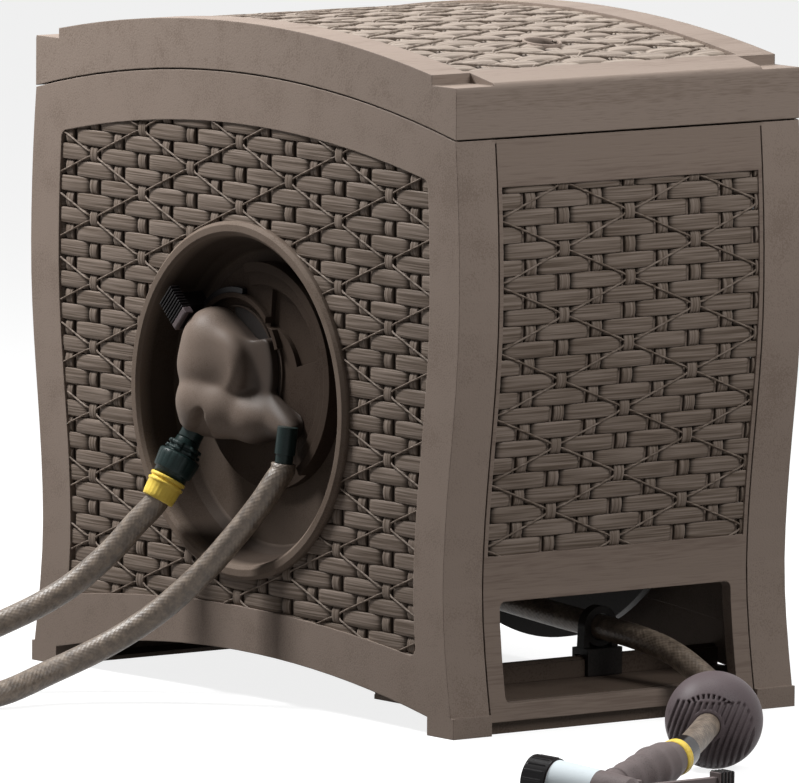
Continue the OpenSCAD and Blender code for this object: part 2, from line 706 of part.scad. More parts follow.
module far_bush() {
    color("#e4e0d4") translate([hub_x1, 0, axis_z]) rotate([0, 90, 0]) difference() {
        cylinder(r = axle_r + run_fit + bush_t, h = flange_t + 10);
        translate([0, 0, -1]) cylinder(r = axle_r + run_fit, h = 30);
    }
}

module axle_clip() {
    color("#6f7174") translate([hub_x1 - 4.8, 0, axis_z]) rotate([0, 90, 0]) difference() {
        cylinder(r = axle_r + 3, h = 1.6);
        translate([0, 0, -1]) cylinder(r = axle_r - 2, h = 4);
        translate([axle_r - 6, -4, -1]) cube([20, 8, 4]);
    }
}

lever_in = dome_r + 8.5;
lever_r = lever_in + 5;
grip_x = side_x + 2;
grip_end = ring_r - ring_w - norm([motor_y, ring_z - axis_z]) - grip_clear;
grip_l = grip_end - dome_r + 1;
arm_end = max(lever_r, grip_end - 5.5);
// Ring segment around the foot of the housing with an arm that rises to the grip
module control_lever() {
    color("#221f1e") {
        to_motor_side(motor_y, ring_z) translate([0, 0, dome_h + 0.3]) intersection() {
            difference() {
                cylinder(r = lever_r, h = 5, $fn = 96);
                translate([0, 0, -1]) cylinder(r = lever_in, h = 8, $fn = 96);
            }
            wedge(-12, 98, 2 * lever_r, 10);
        }
        lever_frame() translate([lever_r - 4, -8, 0.3])
            cube([arm_end - lever_r + 4, 16, grip_x - dome_h - 7.3]);
    }
}

module lever_frame() {
    to_motor_side(motor_y, ring_z) translate([0, 0, dome_h]) rotate(90 - lever_angle) children();
}

// Ribbed finger grip on the end of the lever
module lever_grip() {
    color("#3c3734") lever_frame() translate([dome_r - 1, 0, grip_x - dome_h - 7]) {
        translate([0, -11, 0]) cube([grip_l, 22, 7]);
        for (i = [0:6]) translate([1 + i * (grip_l - 2) / 7, -12, 2]) cube([2, 24, 8]);
        translate([grip_l - 3.5, -12, 2]) cube([3.5, 24, 7]);
    }
}

// A tube swept along points: rings kept from twisting, each side two triangles
function tangents(p) = [for (i = [0:len(p) - 1])
    unit(p[min(i + 1, len(p) - 1)] - p[max(i - 1, 0)])];
function carried(t, i, n) = i >= len(t) ? [] :
    let (m = unit(n - t[i] * (n * t[i]))) concat([m], carried(t, i + 1, m));
function tube_rings(p, r, sides, first) = let (t = tangents(p), n = carried(t, 0, first))
    [for (i = [0:len(p) - 1], k = [0:sides - 1]) let (a = 360 * k / sides)
        p[i] + r * (cos(a) * n[i] + sin(a) * cross(t[i], n[i]))];
function tube_faces(m, s) = concat(
    [[for (k = [0:s - 1]) k]], [[for (k = [s - 1:-1:0]) (m - 1) * s + k]],
    [for (i = [0:m - 2], k = [0:s - 1], h = [0, 1]) let (
        a = i * s + k, b = i * s + (k + 1) % s, c = a + s, d = b + s)
        h == 0 ? [a, c, b] : [b, c, d]]);
module tube(p, r, sides = 8, first = [0, 0, 1]) {
    polyhedron(tube_rings(p, r, sides, first), tube_faces(len(p), sides), convexity = 10);
}

// Something stood on a line from one point towards another, its Z along that line
module along(p, q) {
    d = unit(q - p);
    translate(p) rotate([0, acos(d[2]), atan2(d[1], d[0])]) children();
}

hose_r = hose_d / 2;
supply_mid = [-side_x - 182, 347];
supply_in = -127.3;
drain_mid = [-side_x - 417.3, 35.3];
drain_in = 52.7;
rest_z = hose_r + 0.3;

function smooth(a, b, x) = let (t = min(1, max(0, (x - a) / (b - a)))) t * t * (3 - 2 * t);
coil_sweep = 360 * coil_turns;
// The supply coil's last quarter climbs over its first turn, and its end lies on top
function supply_coil_at(f) = let (
        a = supply_in - f,
        r = coil_r - coil_step * f / 360 + 24 * smooth(coil_sweep - 55, coil_sweep, f))
    [supply_mid[0] + r * cos(a), supply_mid[1] + r * sin(a),
     rest_z + (hose_d + 6.6) * smooth(coil_sweep - 105, coil_sweep - 40, f)];
function drain_coil_at(f) = let (
        a = drain_in + f,
        r = coil_r - coil_step * f / 360 - 9 * smooth(coil_sweep - 90, coil_sweep, f))
    [drain_mid[0] + r * cos(a), drain_mid[1] + r * sin(a), rest_z];

function straight_ends(p) = let (n = len(p)) concat(
    [p[0] - hose_d * unit(p[1] - p[0])], p, [p[n - 1] + hose_d * unit(p[n - 1] - p[n - 2])]);
supply_coil_pts = [for (i = [0:24 * coil_turns]) supply_coil_at(15 * i)];
drain_coil_pts = [for (i = [0:24 * coil_turns]) drain_coil_at(15 * i)];

module inlet_stub() {
    color("#2a3330") along(port_in, connector_at) cylinder(r = 10.5, h = norm(connector_at - port_in));
}

// Quick connector: a latch body, a sliding sleeve over it and the yellow hose collar
connector_l = norm(connector_to - connector_at);
collar_z = 38;
module connector_frame() { along(connector_at, connector_to) children(); }
module connector_body() {
    color("#1f2a2b") connector_frame() {
        cylinder(r = 13, h = 14);
        translate([0, 0, 14 - eps]) cylinder(r = 15.5, h = collar_z - 14 + eps);
    }
}
module connector_sleeve() {
    color("#26383a") connector_frame() translate([0, 0, 15]) difference() {
        union() {
            cylinder(r = 19.5, h = 18);
            for (a = [0:30:330]) rotate(a) translate([19, 0, 1]) cylinder(r = 1.6, h = 14, $fn = 16);
        }
        translate([0, 0, -1]) cylinder(r = 15.8, h = 30);
    }
}
module connector_collar() {
    color("#e3bf2f") connector_frame() translate([0, 0, collar_z]) difference() {
        union() {
            cylinder(r = 16.5, h = 4);
            translate([0, 0, 5.5]) cylinder(r = 16.5, h = 2.5);
            cylinder(r = 14.5, h = connector_l - collar_z);
        }
        translate([0, 0, connector_l - collar_z - 10]) cylinder(r = hose_r + 0.3, h = 60);
    }
}

module supply_hose() {
    color("#8a7a69") tube(concat([connector_to - 9.7 * connector_dir, connector_to + 3 * connector_dir],
        supply_route, lead_in(supply_coil_pts)), hose_r, 10);
}
// A leader hose runs straight into its coil and stops just short of it
function lead_in(p) = let (d = unit(p[1] - p[0])) [p[0] - 20 * d, p[0] - 0.4 * d];
module supply_coil() {
    color("#8a7a69") tube(concat(supply_coil_pts, [supply_end]), hose_r, 6);
}
supply_last = supply_coil_pts[len(supply_coil_pts) - 1];
supply_dir = unit(supply_last - supply_coil_pts[len(supply_coil_pts) - 2]);
supply_end = supply_last + hose_d * [supply_dir[0], supply_dir[1], 0];
module supply_coupling() {
    color("#b9973a") along(supply_end, supply_end + [supply_dir[0], supply_dir[1], 0]) difference() {
        union() {
            cylinder(r = 12.5, h = 12);
            translate([0, 0, 12 - eps]) cylinder(r = 15.8, h = 22);
            for (a = [0:45:315]) rotate(a) translate([15.3, 0, 13]) cylinder(r = 1.2, h = 20, $fn = 16);
        }
        translate([0, 0, 22]) cylinder(r = 13.1, h = 20);
        translate([0, 0, -1]) cylinder(r = 8, h = 40);
    }
}

module drain_stub() {
    color("#232c29") along(port_out, drain_route[0]) {
        cylinder(r = 9, h = 24);
        cylinder(r = 7.8, h = norm(drain_route[0] - port_out));
    }
}
module drain_hose() {
    color("#8a7a69") tube(concat(drain_route, lead_in(drain_coil_pts)), hose_r, 10, [1, 0, 0]);
}
module drain_coil() {
    n = len(drain_coil_pts);
    color("#8a7a69") tube(concat(drain_coil_pts,
        [drain_coil_pts[n - 1] + hose_d * unit(drain_coil_pts[n - 1] - drain_coil_pts[n - 2])]), hose_r, 6);
}

// The outer layer wound on the drum, one unbroken tube between straight ends
wind_pitch = (hub_x1 - flange_x0 - hose_d - 2.4) / wind_turns;
function wind_at(f) = [flange_x0 + hose_r + 1.2 + wind_pitch * f / 360,
    wind_r * sin(f), axis_z + wind_r * cos(f)];
wind_pts = straight_ends([for (i = [0:24 * wind_turns]) wind_at(15 * i)]);
wind_gap = min([for (i = [1:len(wind_pts) - 26]) norm(wind_pts[i + 24] - wind_pts[i])]) - hose_d;
coil_gap = min([for (i = [0:len(drain_coil_pts) - 25])
    norm(drain_coil_pts[i + 24] - drain_coil_pts[i])]) - hose_d;
echo(winding_gap_mm = wind_gap, coil_gap_mm = coil_gap);

module hose_core() {
    color("#6f6255") translate([flange_x0 + 0.3, 0, axis_z]) rotate([0, 90, 0]) difference() {
        cylinder(r = wind_r * cos(7.5) - hose_r - 0.3, h = hub_x1 - flange_x0 - 0.6, $fn = 96);
        translate([0, 0, -1]) cylinder(r = hub_r, h = 400, $fn = 96);
    }
}
module hose_winding() { color("#8a7a69") tube(wind_pts, hose_r, 6, [1, 0, 0]); }
module front_hose() { color("#8a7a69") tube(front_route, hose_r, 10); }

// The hose stop: a ribbed ball in two halves, clamped on the hose
module ball_half() {
    difference() {
        sphere(r = ball_r, $fn = 96);
        translate([-50, -50, -100 + 0.1]) cube([100, 100, 100]);
        translate([-50, -50, ball_r - 2]) cube([100, 100, 20]);
        translate([0, 0, -1]) cylinder(r = hose_r + 0.3, h = 80);
    }
}
module ball_front() {
    color("#3b3035") along(ball_at, ball_to) difference() {
        ball_half();
        for (s = [-1, 1]) translate([0, s * 27, -1]) cylinder(r = 2, h = 60);
    }
}
module ball_rear() {
    color("#3b3035") along(ball_at, ball_to) mirror([0, 0, 1]) difference() {
        ball_half();
        for (s = [-1, 1]) translate([0, s * 27, -1]) cylinder(r = 2, h = 24);
    }
}
module ball_screws() {
    color("#9a9c9e") along(ball_at, ball_to) for (s = [-1, 1]) translate([0, s * 27, -20]) {
        cylinder(r = 2, h = 38);
    }
}

// Coupling on the hose's end, the nozzle's collar and the nozzle itself
module end_coupling() {
    color("#2a2628") difference() {
        along(last_point(front_route), band_at) difference() {
            translate([0, 0, -8]) cylinder(r = 14, h = 14 + norm(band_at - last_point(front_route)));
            translate([0, 0, -9]) cylinder(r = hose_r + 0.3, h = 9);
        }
        grip_frame() cylinder(r = 60, h = 60);
    }
}
function last_point(p) = p[len(p) - 1];
grip_dir = unit(neck_at - band_at);
module grip_frame() { along(band_at, neck_at) children(); }
module coupling_band() {
    color("#e3bf2f") grip_frame() cylinder(r = 15.5, h = 9);
}
barrel_l = norm(nozzle_tip - barrel_at);
bezel_l = 22;
module barrel_frame() { along(barrel_at, nozzle_tip) children(); }
trigger_at = [-318, -722, 18];
trigger_h = 8;
// Grip and barrel of the nozzle, lying on the floor
module nozzle_body() {
    color("#4c4347") difference() {
        union() {
            grip_frame() translate([0, 0, 9]) rotate_extrude($fn = 64) polygon([[0, 0], [14.5, 0],
                [17.5, 14], [17.8, 34], [15.5, 56], [14.2, 80], [14.2, 104], [0, 104]]);
            barrel_frame() rotate_extrude($fn = 64) polygon([[0, -12], [9, -12], [15.6, -5], [17, 14],
                [19.4, barrel_l - bezel_l - 0.3], [0, barrel_l - bezel_l - 0.3]]);
            translate(trigger_at - [14, 0, trigger_h / 2 + 4]) cube([14, 14, trigger_h + 8]);
            translate(trigger_at - [0, 0, trigger_h / 2 + 4]) cylinder(r = 7, h = trigger_h + 8);
        }
        translate(trigger_at - [0, 0, trigger_h / 2 + 0.3]) cylinder(r = 9, h = trigger_h + 0.6);
        translate(trigger_at - [0, 0, 20]) cylinder(r = 2.4, h = 40);
        translate([-500, -900, -50]) cube([400, 400, 50.3]);
    }
}
module trigger_pin() {
    color("#9a9c9e") translate(trigger_at - [0, 0, trigger_h / 2 + 4]) cylinder(r = 2.4, h = trigger_h + 8);
}
module nozzle_bezel() {
    color("#211f20") barrel_frame() translate([0, 0, barrel_l - bezel_l]) difference() {
        union() {
            cylinder(r = 20.6, h = bezel_l);
            for (a = [0:20:340]) rotate(a) translate([20.2, 0, 3])
                cylinder(r = 1.2, h = bezel_l - 5, $fn = 16);
        }
        translate([0, 0, bezel_l - 5]) cylinder(r = 16, h = 20);
        for (a = [0:45:315]) rotate(a) translate([10, 0, bezel_l - 9]) cylinder(r = 2.2, h = 60);
    }
}
// Squeeze lever beside the grip, turning on an upright pin
module nozzle_trigger() {
    color("#2c282a") translate(trigger_at - [0, 0, trigger_h / 2]) difference() {
        union() {
            cylinder(r = 6.5, h = trigger_h);
            translate([0, -6, 0]) cube([92, 7, trigger_h]);
            translate([84, -9, -4]) cube([16, 13, trigger_h + 8]);
        }
        translate([0, 0, -1]) cylinder(r = 2.4 + run_fit, h = trigger_h + 2);
    }
}

// Screws that hold the end panels to the lips on the posts, and the housing to the well
module panel_screws() {
    color("#8b8d8f") for (s = [0, 1], x = [-screw_x, screw_x], z = screw_z) mirror([0, s, 0])
        translate([x, -edge_y(z) + wall + 1, z]) rotate([-90, 0, 0]) {
            cylinder(r = screw_r, h = lip_d + 4);
            translate([0, 0, lip_d + 3.5 - wall]) cylinder(r = 3.2, h = 2.2);
        }
}
module housing_screws() {
    color("#8b8d8f") for (p = screw_spots) to_motor_side(motor_y + p[0], motor_z + p[1])
        translate([0, 0, floor_h - wall - 3]) cylinder(r = 2, h = wall + dial_t + 3);
}

motor_side_panel();
far_side_panel();
front_panel();
rear_panel();
front_tray();
rear_tray();
guide_rail();
hose_guide();
lid();
hinge_pins();
well_cup();
dial_plate();
motor_housing();
turbine_wheel();
motor_pinion();
drive_gear();
motor_flange();
far_flange();
drum_hub();
swivel_spindle();
swivel_seals();
hub_elbow();
far_axle();
far_bush();
axle_clip();
control_lever();
lever_grip();
inlet_stub();
drain_stub();
connector_body();
connector_sleeve();
connector_collar();
supply_hose();
supply_coil();
supply_coupling();
drain_hose();
drain_coil();
hose_core();
hose_winding();
front_hose();
ball_front();
ball_rear();
ball_screws();
end_coupling();
coupling_band();
nozzle_body();
nozzle_bezel();
nozzle_trigger();
trigger_pin();
panel_screws();
housing_screws();
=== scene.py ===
"""Looks of a garden hose reel: woven-look cabinet, water motor in its well, hoses, stop ball and nozzle."""

import bmesh
import bpy
import numpy as np
from mathutils import Matrix


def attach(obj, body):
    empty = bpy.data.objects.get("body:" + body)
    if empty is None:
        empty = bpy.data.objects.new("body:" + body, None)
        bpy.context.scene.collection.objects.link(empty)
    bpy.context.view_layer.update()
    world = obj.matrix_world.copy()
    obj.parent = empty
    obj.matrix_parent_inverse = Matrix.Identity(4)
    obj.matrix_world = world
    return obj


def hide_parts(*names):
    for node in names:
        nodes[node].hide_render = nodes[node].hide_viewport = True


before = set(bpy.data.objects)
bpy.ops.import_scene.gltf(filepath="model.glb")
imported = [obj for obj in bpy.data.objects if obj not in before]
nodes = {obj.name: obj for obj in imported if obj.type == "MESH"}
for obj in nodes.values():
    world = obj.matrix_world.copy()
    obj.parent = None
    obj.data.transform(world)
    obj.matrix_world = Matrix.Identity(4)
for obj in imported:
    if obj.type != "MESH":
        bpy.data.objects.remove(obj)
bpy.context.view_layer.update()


# Studio: a white floor, a weak even sky, a near lamp at the rear left, one in front and one overhead, so that the
# lid's top is lightest, the sides darken towards the floor, and the rear wall of the motor well lies in shadow, as
# in the photograph. The floor is white to the eye and dark to the light that it sends back up.

def linear(hex_colour):
    """sRGB hex to the linear RGBA that shader sockets take."""
    c = np.array([int(hex_colour[i:i + 2], 16) for i in (1, 3, 5)]) / 255
    c = np.where(c <= 0.04045, c / 12.92, ((c + 0.055) / 1.055) ** 2.4)
    return (*c.tolist(), 1.0)


def add(tree, kind, inputs=(), **settings):
    """Adds one shader node with its settings; inputs maps a socket to a value or to another node's output."""
    made = tree.nodes.new("ShaderNode" + kind)
    for key, value in settings.items():
        setattr(made, key, value)
    for key, value in dict(inputs).items():
        if isinstance(value, bpy.types.NodeSocket):
            tree.links.new(value, made.inputs[key])
        else:
            made.inputs[key].default_value = value
    return made


def blank_material(name):
    """A new material without nodes, and its node tree."""
    made = bpy.data.materials.new(name)
    made.use_nodes = True
    made.node_tree.nodes.clear()
    return made, made.node_tree


def surface(tree, inputs):
    """Ends a material in a principled shader with the given inputs."""
    add(tree, "OutputMaterial", {"Surface": add(tree, "BsdfPrincipled", inputs).outputs[0]})


def viewed_ray(tree):
    """Socket that is 1 where the eye looks, straight or by way of metal or glass, and 0 for all other light."""
    ray = add(tree, "LightPath")
    glossy = add(tree, "Math", {0: ray.outputs["Is Camera Ray"], 1: ray.outputs["Is Glossy Ray"]}, operation="MAXIMUM")
    viewed = add(tree, "Math", {0: glossy.outputs[0], 1: ray.outputs["Is Transmission Ray"]}, operation="MAXIMUM")
    return viewed.outputs[0]


FLOOR_BACK, FLOOR_GLOW, FLOOR_LIT, FLOOR_HALF = "#6d6a68", 0.84, "#9a9a9a", 30.0
floor_material, tree = blank_material("studio_paper")
dull = add(tree, "BsdfDiffuse", {"Color": linear(FLOOR_BACK)})
lit = add(tree, "BsdfDiffuse", {"Color": linear(FLOOR_LIT)})
glow = add(tree, "Emission", {"Color": linear("#ffffff"), "Strength": FLOOR_GLOW})
white = add(tree, "AddShader", {0: lit.outputs[0], 1: glow.outputs[0]})
both = add(tree, "MixShader", {0: viewed_ray(tree), 1: dull.outputs[0], 2: white.outputs[0]})
add(tree, "OutputMaterial", {"Surface": both.outputs[0]})


def put_in(name, data, stand=None):
    """A new object of the data in the scene, at its stand where it has one."""
    made = bpy.data.objects.new(name, data)
    if stand is not None:
        made.matrix_world = Matrix(stand.tolist())
    bpy.context.scene.collection.objects.link(made)
    return made


corners = FLOOR_HALF * np.array([[-1, -1, 0], [1, -1, 0], [1, 1, 0], [-1, 1, 0]])
floor_mesh = bpy.data.meshes.new("studio_floor")
floor_mesh.from_pydata(corners.tolist(), [], [(0, 1, 2, 3)])
floor_mesh.materials.append(floor_material)
put_in("studio_floor", floor_mesh)

SKY_SHADE, SKY_STRENGTH = "#f3f5f8", 0.08
world = bpy.data.worlds.new("studio_sky")
world.use_nodes = True
tree = world.node_tree
tree.nodes.clear()
sky = add(tree, "Background", {"Color": linear(SKY_SHADE), "Strength": SKY_STRENGTH})
paper = add(tree, "Background", {"Color": linear("#ffffff"), "Strength": 1.0})
both = add(tree, "MixShader", {0: viewed_ray(tree), 1: sky.outputs[0], 2: paper.outputs[0]})
add(tree, "OutputWorld", {"Surface": both.outputs[0]})
bpy.context.scene.world = world


def unit(vector):
    """The vector divided by its length."""
    return vector / np.linalg.norm(vector)


def area_lamp(name, place, target, size, watts):
    """A square lamp that faces its target: its -Z axis lies along target - place."""
    data = bpy.data.lights.new(name, "AREA")
    data.size, data.energy = size, watts
    away = unit(np.array(place, float) - np.array(target, float))
    side = unit(np.cross([0.05, 0, 1], away))
    turn = np.eye(4)
    turn[:3, 0], turn[:3, 1], turn[:3, 2], turn[:3, 3] = side, np.cross(away, side), away, place
    put_in(name, data, turn)


area_lamp("key_lamp", place=(-0.98, 1.05, 1.95), target=(-0.1, 0, 0.35), size=0.55, watts=72)
area_lamp("front_lamp", place=(0.25, -1.9, 1.7), target=(0, -0.3, 0.3), size=1.0, watts=29)
area_lamp("top_lamp", place=(0.1, 0.1, 2.6), target=(0.1, 0.1, 0), size=1.0, watts=30)

# Camera: a long lens from far off, at the front left and a little above the lid.
CAMERA_AZIMUTH, CAMERA_RISE, CAMERA_ROLL = np.radians([-37.33, 6.60, 0.43])
CAMERA_TARGET, CAMERA_DISTANCE = np.array([-0.0129, 0.0, 0.2596]), 11.542
back = np.array([np.sin(CAMERA_AZIMUTH) * np.cos(CAMERA_RISE),
                 -np.cos(CAMERA_AZIMUTH) * np.cos(CAMERA_RISE), np.sin(CAMERA_RISE)])
right = np.array([np.cos(CAMERA_AZIMUTH), np.sin(CAMERA_AZIMUTH), 0.0])
up = np.cross(back, right)
rolled_right = right * np.cos(CAMERA_ROLL) + up * np.sin(CAMERA_ROLL)
rolled_up = up * np.cos(CAMERA_ROLL) - right * np.sin(CAMERA_ROLL)
stand = np.eye(4)
stand[:3, 0], stand[:3, 1], stand[:3, 2] = rolled_right, rolled_up, back
stand[:3, 3] = CAMERA_TARGET + CAMERA_DISTANCE * back
camera_data = bpy.data.cameras.new("camera")
camera_data.sensor_width, camera_data.lens = 36.0, 590.6
camera_data.clip_end = 100.0
bpy.context.scene.camera = put_in("camera", camera_data, stand)
bpy.context.scene.view_settings.view_transform = "Standard"


# Hoses: 22 mm reinforced vinyl, extruded, soft enough to lie in loose curves and stiff enough not to kink.
# The supply hose and the drain hose each end in a coil beside the cabinet; the front hose carries the nozzle.

def grid_faces(rows, cols, closed_cols=False, count=1):
    """Quads of count equal grids of rows by cols points, numbered row after row."""
    i = np.arange(rows - 1)[:, None]
    j = np.arange(cols if closed_cols else cols - 1)[None, :]
    k = (j + 1) % cols
    quads = np.stack(np.broadcast_arrays(i * cols + j, i * cols + k, (i + 1) * cols + k, (i + 1) * cols + j), -1)
    quads = quads.reshape(1, -1, 4) + rows * cols * np.arange(count)[:, None, None]
    return quads.reshape(-1, 4)


def make_piece(name, points, quads, material, body, uv=None, tidy=False, smooth=True):
    """Puts points, in metres, and quads into a mesh and lets the piece ride on a body. Tidy merges points that lie
    on one another and turns all faces outwards."""
    mesh = bpy.data.meshes.new(name)
    mesh.vertices.add(len(points))
    mesh.vertices.foreach_set("co", np.asarray(points, np.float32).ravel())
    mesh.loops.add(quads.size)
    mesh.loops.foreach_set("vertex_index", quads.astype(np.int32).ravel())
    mesh.polygons.add(len(quads))
    mesh.polygons.foreach_set("loop_start", np.arange(0, quads.size, 4, dtype=np.int32))
    mesh.polygons.foreach_set("loop_total", np.full(len(quads), 4, np.int32))
    mesh.polygons.foreach_set("use_smooth", np.full(len(quads), smooth))
    if uv is not None:
        mesh.uv_layers.new(name="UVMap").data.foreach_set("uv", uv[quads.ravel()].astype(np.float32).ravel())
    mesh.update(calc_edges=True)
    if tidy:
        work = bmesh.new()
        work.from_mesh(mesh)
        bmesh.ops.remove_doubles(work, verts=work.verts, dist=1e-6)
        bmesh.ops.recalc_face_normals(work, faces=work.faces)
        work.to_mesh(mesh)
        work.free()
    mesh.materials.append(material)
    piece = put_in(name, mesh)
    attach(piece, body)
    return piece


def closed_rows(name, rows, material, body, smooth=True):
    """Rows of points in millimetres, each closed on itself and joined to the next, as one piece."""
    return make_piece(name, rows.reshape(-1, 3) / 1000, grid_faces(*rows.shape[:2], True), material, body,
                      tidy=True, smooth=smooth)


def smooth_path(points, step):
    """A curve through the points: cubic pieces whose slopes are those of the neighbours, cut into even steps."""
    p = np.asarray(points, float)
    ends = np.vstack([2 * p[0] - p[1], p, 2 * p[-1] - p[-2]])
    t = np.linspace(0, 1, 13)[:-1, None, None]
    a, b, c, d = ends[:-3], ends[1:-2], ends[2:-1], ends[3:]
    cubic = 0.5 * (2 * b + (c - a) * t + (2 * a - 5 * b + 4 * c - d) * t ** 2 + (3 * b - a - 3 * c + d) * t ** 3)
    fine = np.vstack([cubic.transpose(1, 0, 2).reshape(-1, 3), p[-1:]])
    run = np.concatenate([[0], np.cumsum(np.linalg.norm(np.diff(fine, axis=0), axis=1))])
    even = np.linspace(0, run[-1], int(round(run[-1] / step)) + 1)
    return np.stack([np.interp(even, run, fine[:, k]) for k in range(3)], -1), even


def tube_rings(path, radius, sides):
    """Rings of points round a path. Each ring's start is carried on from the last one, so they don't twist."""
    along = np.gradient(path, axis=0)
    along /= np.linalg.norm(along, axis=1)[:, None]
    first = np.cross(along[0], [0.31, 0.22, 0.93])
    starts = []
    for direction in along:
        first = unit(first - direction * (first @ direction))
        starts.append(first)
    starts = np.array(starts)
    a = np.linspace(0, 2 * np.pi, sides, endpoint=False)
    around = np.cos(a)[:, None] * starts[:, None] + np.sin(a)[:, None] * np.cross(along, starts)[:, None]
    return path[:, None] + radius * around


def two_shades(ramp, *stops):
    """Gives a colour ramp its two stops, each a position and a shade."""
    for element, (at, shade) in zip(ramp.color_ramp.elements, stops):
        element.position, element.color = at, linear(shade)


HOSE_R, YARN_PITCH = 0.011, 0.0032

# Vinyl over a knitted yarn: the yarn shows as a faint diamond net of low ridges under a mottled, half-matt skin.
hose_vinyl, tree = blank_material("vinyl_over_yarn")
place = add(tree, "UVMap")
mottle = add(tree, "TexNoise", {"Vector": place.outputs[0], "Scale": 130.0, "Detail": 4.0, "Roughness": 0.62})
shade = add(tree, "ValToRGB", {0: mottle.outputs[0]})
two_shades(shade, (0.36, "#4f443a"), (0.68, "#827466"))
net = []
for turn in (1, -1):
    skew = add(tree, "Mapping", {"Vector": place.outputs[0], "Rotation": (0, 0, turn * np.radians(52))})
    net.append(add(tree, "TexWave", {"Vector": skew.outputs[0], "Scale": 0.31 / YARN_PITCH}))
crossed = add(tree, "Math", {0: net[0].outputs["Fac"], 1: net[1].outputs["Fac"]}, operation="ADD")
raised = add(tree, "Bump", {"Strength": 0.22, "Distance": 0.0005, "Height": crossed.outputs[0]})
surface(tree, {"Base Color": shade.outputs[0], "Roughness": 0.46, "IOR": 1.52, "Normal": raised.outputs[0]})


def hose(name, route, body="cabinet", sides=20, step=0.006):
    """A hose along a route in millimetres; its UV runs along it and once round it, in metres."""
    path, run = smooth_path(np.asarray(route, float) / 1000, step)
    rings = tube_rings(path, HOSE_R, sides)
    rings = np.concatenate([rings, rings[:, :1]], 1)
    u = np.broadcast_to(run[:, None], rings.shape[:2])
    v = np.broadcast_to(np.linspace(0, 2 * np.pi * HOSE_R, sides + 1), rings.shape[:2])
    rings = np.concatenate([path[:1, None] + 0 * rings[:1], rings, path[-1:, None] + 0 * rings[-1:]], 0)
    uv = np.stack([np.concatenate([u[:1], u, u[-1:]]), np.concatenate([v[:1], v, v[-1:]])], -1)
    piece = make_piece(name, rings.reshape(-1, 3), grid_faces(len(rings), sides + 1), hose_vinyl, body,
                       uv.reshape(-1, 2), tidy=True)
    return piece, path, run[-1]


# Middle lines of the hoses in millimetres: from the connector, from the drain port and from the guide onwards.
SUPPLY_ROUTE = [
    [-227, 99, 147.6], [-241, 112.5, 125], [-266, 131, 96.6], [-293, 147, 76.4],
    [-330, 161, 59], [-361, 184.5, 41.5], [-389, 206.5, 24.5], [-407.5, 221.5, 14.8]]
DRAIN_ROUTE = [
    [-178, -51, 212], [-178.6, -50.7, 206], [-186, -49.3, 196], [-196, -41, 176], [-212, -22, 144.5],
    [-230, 0, 112.5], [-255, 30, 77.5], [-290, 54, 50], [-340, 70, 27.6], [-396, 68, 12.9],
    [-440, 77, 11.3], [-482, 96.5, 11.3]]
FRONT_ROUTE = [
    [30, 13, 90], [33, -40, 86.5], [40, -95, 80], [48, -150, 73.5], [54.5, -200, 68.6], [57.5, -250, 64.2],
    [58.2, -300, 56], [58.5, -345, 38.8], [56.5, -375, 23.4], [50.4, -400, 14], [43.9, -415.7, 11.6],
    [34.9, -430.1, 11.3], [23.2, -443.2, 11.3], [6.4, -460.1, 11.3], [-7.5, -473.1, 11.5],
    [-19.6, -484.3, 12.9], [-31.7, -495.6, 17.7], [-43.8, -506.9, 26.6], [-55.8, -518.1, 35.6],
    [-68, -529.4, 40.4], [-80, -540.6, 42], [-110.7, -569.2, 42], [-141.4, -597.8, 42],
    [-160, -614.8, 40.9], [-180, -631.7, 38.6], [-202, -649.5, 36], [-222, -665.4, 34]]
CONNECTOR_AT, CONNECTOR_TO = np.array([-186, 77, 221.0]), np.array([-214, 86, 168.4])
COIL_R, COIL_STEP, COIL_TURNS, COIL_Z = 121, 23.5, 1.35, 11.3
COLLAR_IN, COLLAR_OUT, END_RUN = 9.7, 3, 22


def smoothstep(a, b, x):
    """3 t^2 - 2 t^3, where t runs from 0 at a to 1 at b and stays level past them; b may be less than a."""
    t = np.clip((x - a) / (b - a), 0, 1)
    return t * t * (3 - 2 * t)


def leader_coil(middle, start, turn, climb, squeeze):
    """A spiral on the floor: the radius falls by one step a turn, and the end of it may climb on the turn below."""
    f = np.arange(0, 360 * COIL_TURNS, 15.0)
    end = 360 * COIL_TURNS
    a = np.radians(start + turn * f)
    r = COIL_R - COIL_STEP * f / 360 + squeeze(f, end)
    z = COIL_Z + climb * smoothstep(end - 105, end - 40, f)
    return np.stack([middle[0] + r * np.cos(a), middle[1] + r * np.sin(a), z], -1)


def onward(points, length):
    """The place at a length past the last point, straight on from the one before it."""
    last = points[-1] - points[-2]
    return points[-1] + length * last / np.linalg.norm(last)


supply_coil = leader_coil(middle=(-370, 347), start=-127.3, turn=-1, climb=28.6,
                          squeeze=lambda f, end: 24 * smoothstep(end - 55, end, f))
drain_coil = leader_coil(middle=(-605.3, 35.3), start=52.7, turn=1, climb=0.0,
                         squeeze=lambda f, end: -9 * smoothstep(end - 90, end, f))
connector_dir = unit(CONNECTOR_TO - CONNECTOR_AT)

supply_hose, supply_path, supply_length = hose("supply_hose_skin", np.vstack([
    CONNECTOR_TO - COLLAR_IN * connector_dir, CONNECTOR_TO + COLLAR_OUT * connector_dir, SUPPLY_ROUTE, supply_coil,
    onward(supply_coil, END_RUN)]))
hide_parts("supply_hose", "supply_coil")
drain_hose, drain_path, drain_length = hose("drain_hose_skin", np.vstack([
    DRAIN_ROUTE, drain_coil, onward(drain_coil, END_RUN)]))
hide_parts("drain_hose", "drain_coil")
front_hose, front_path, front_length = hose("front_hose_skin", FRONT_ROUTE)
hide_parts("front_hose")


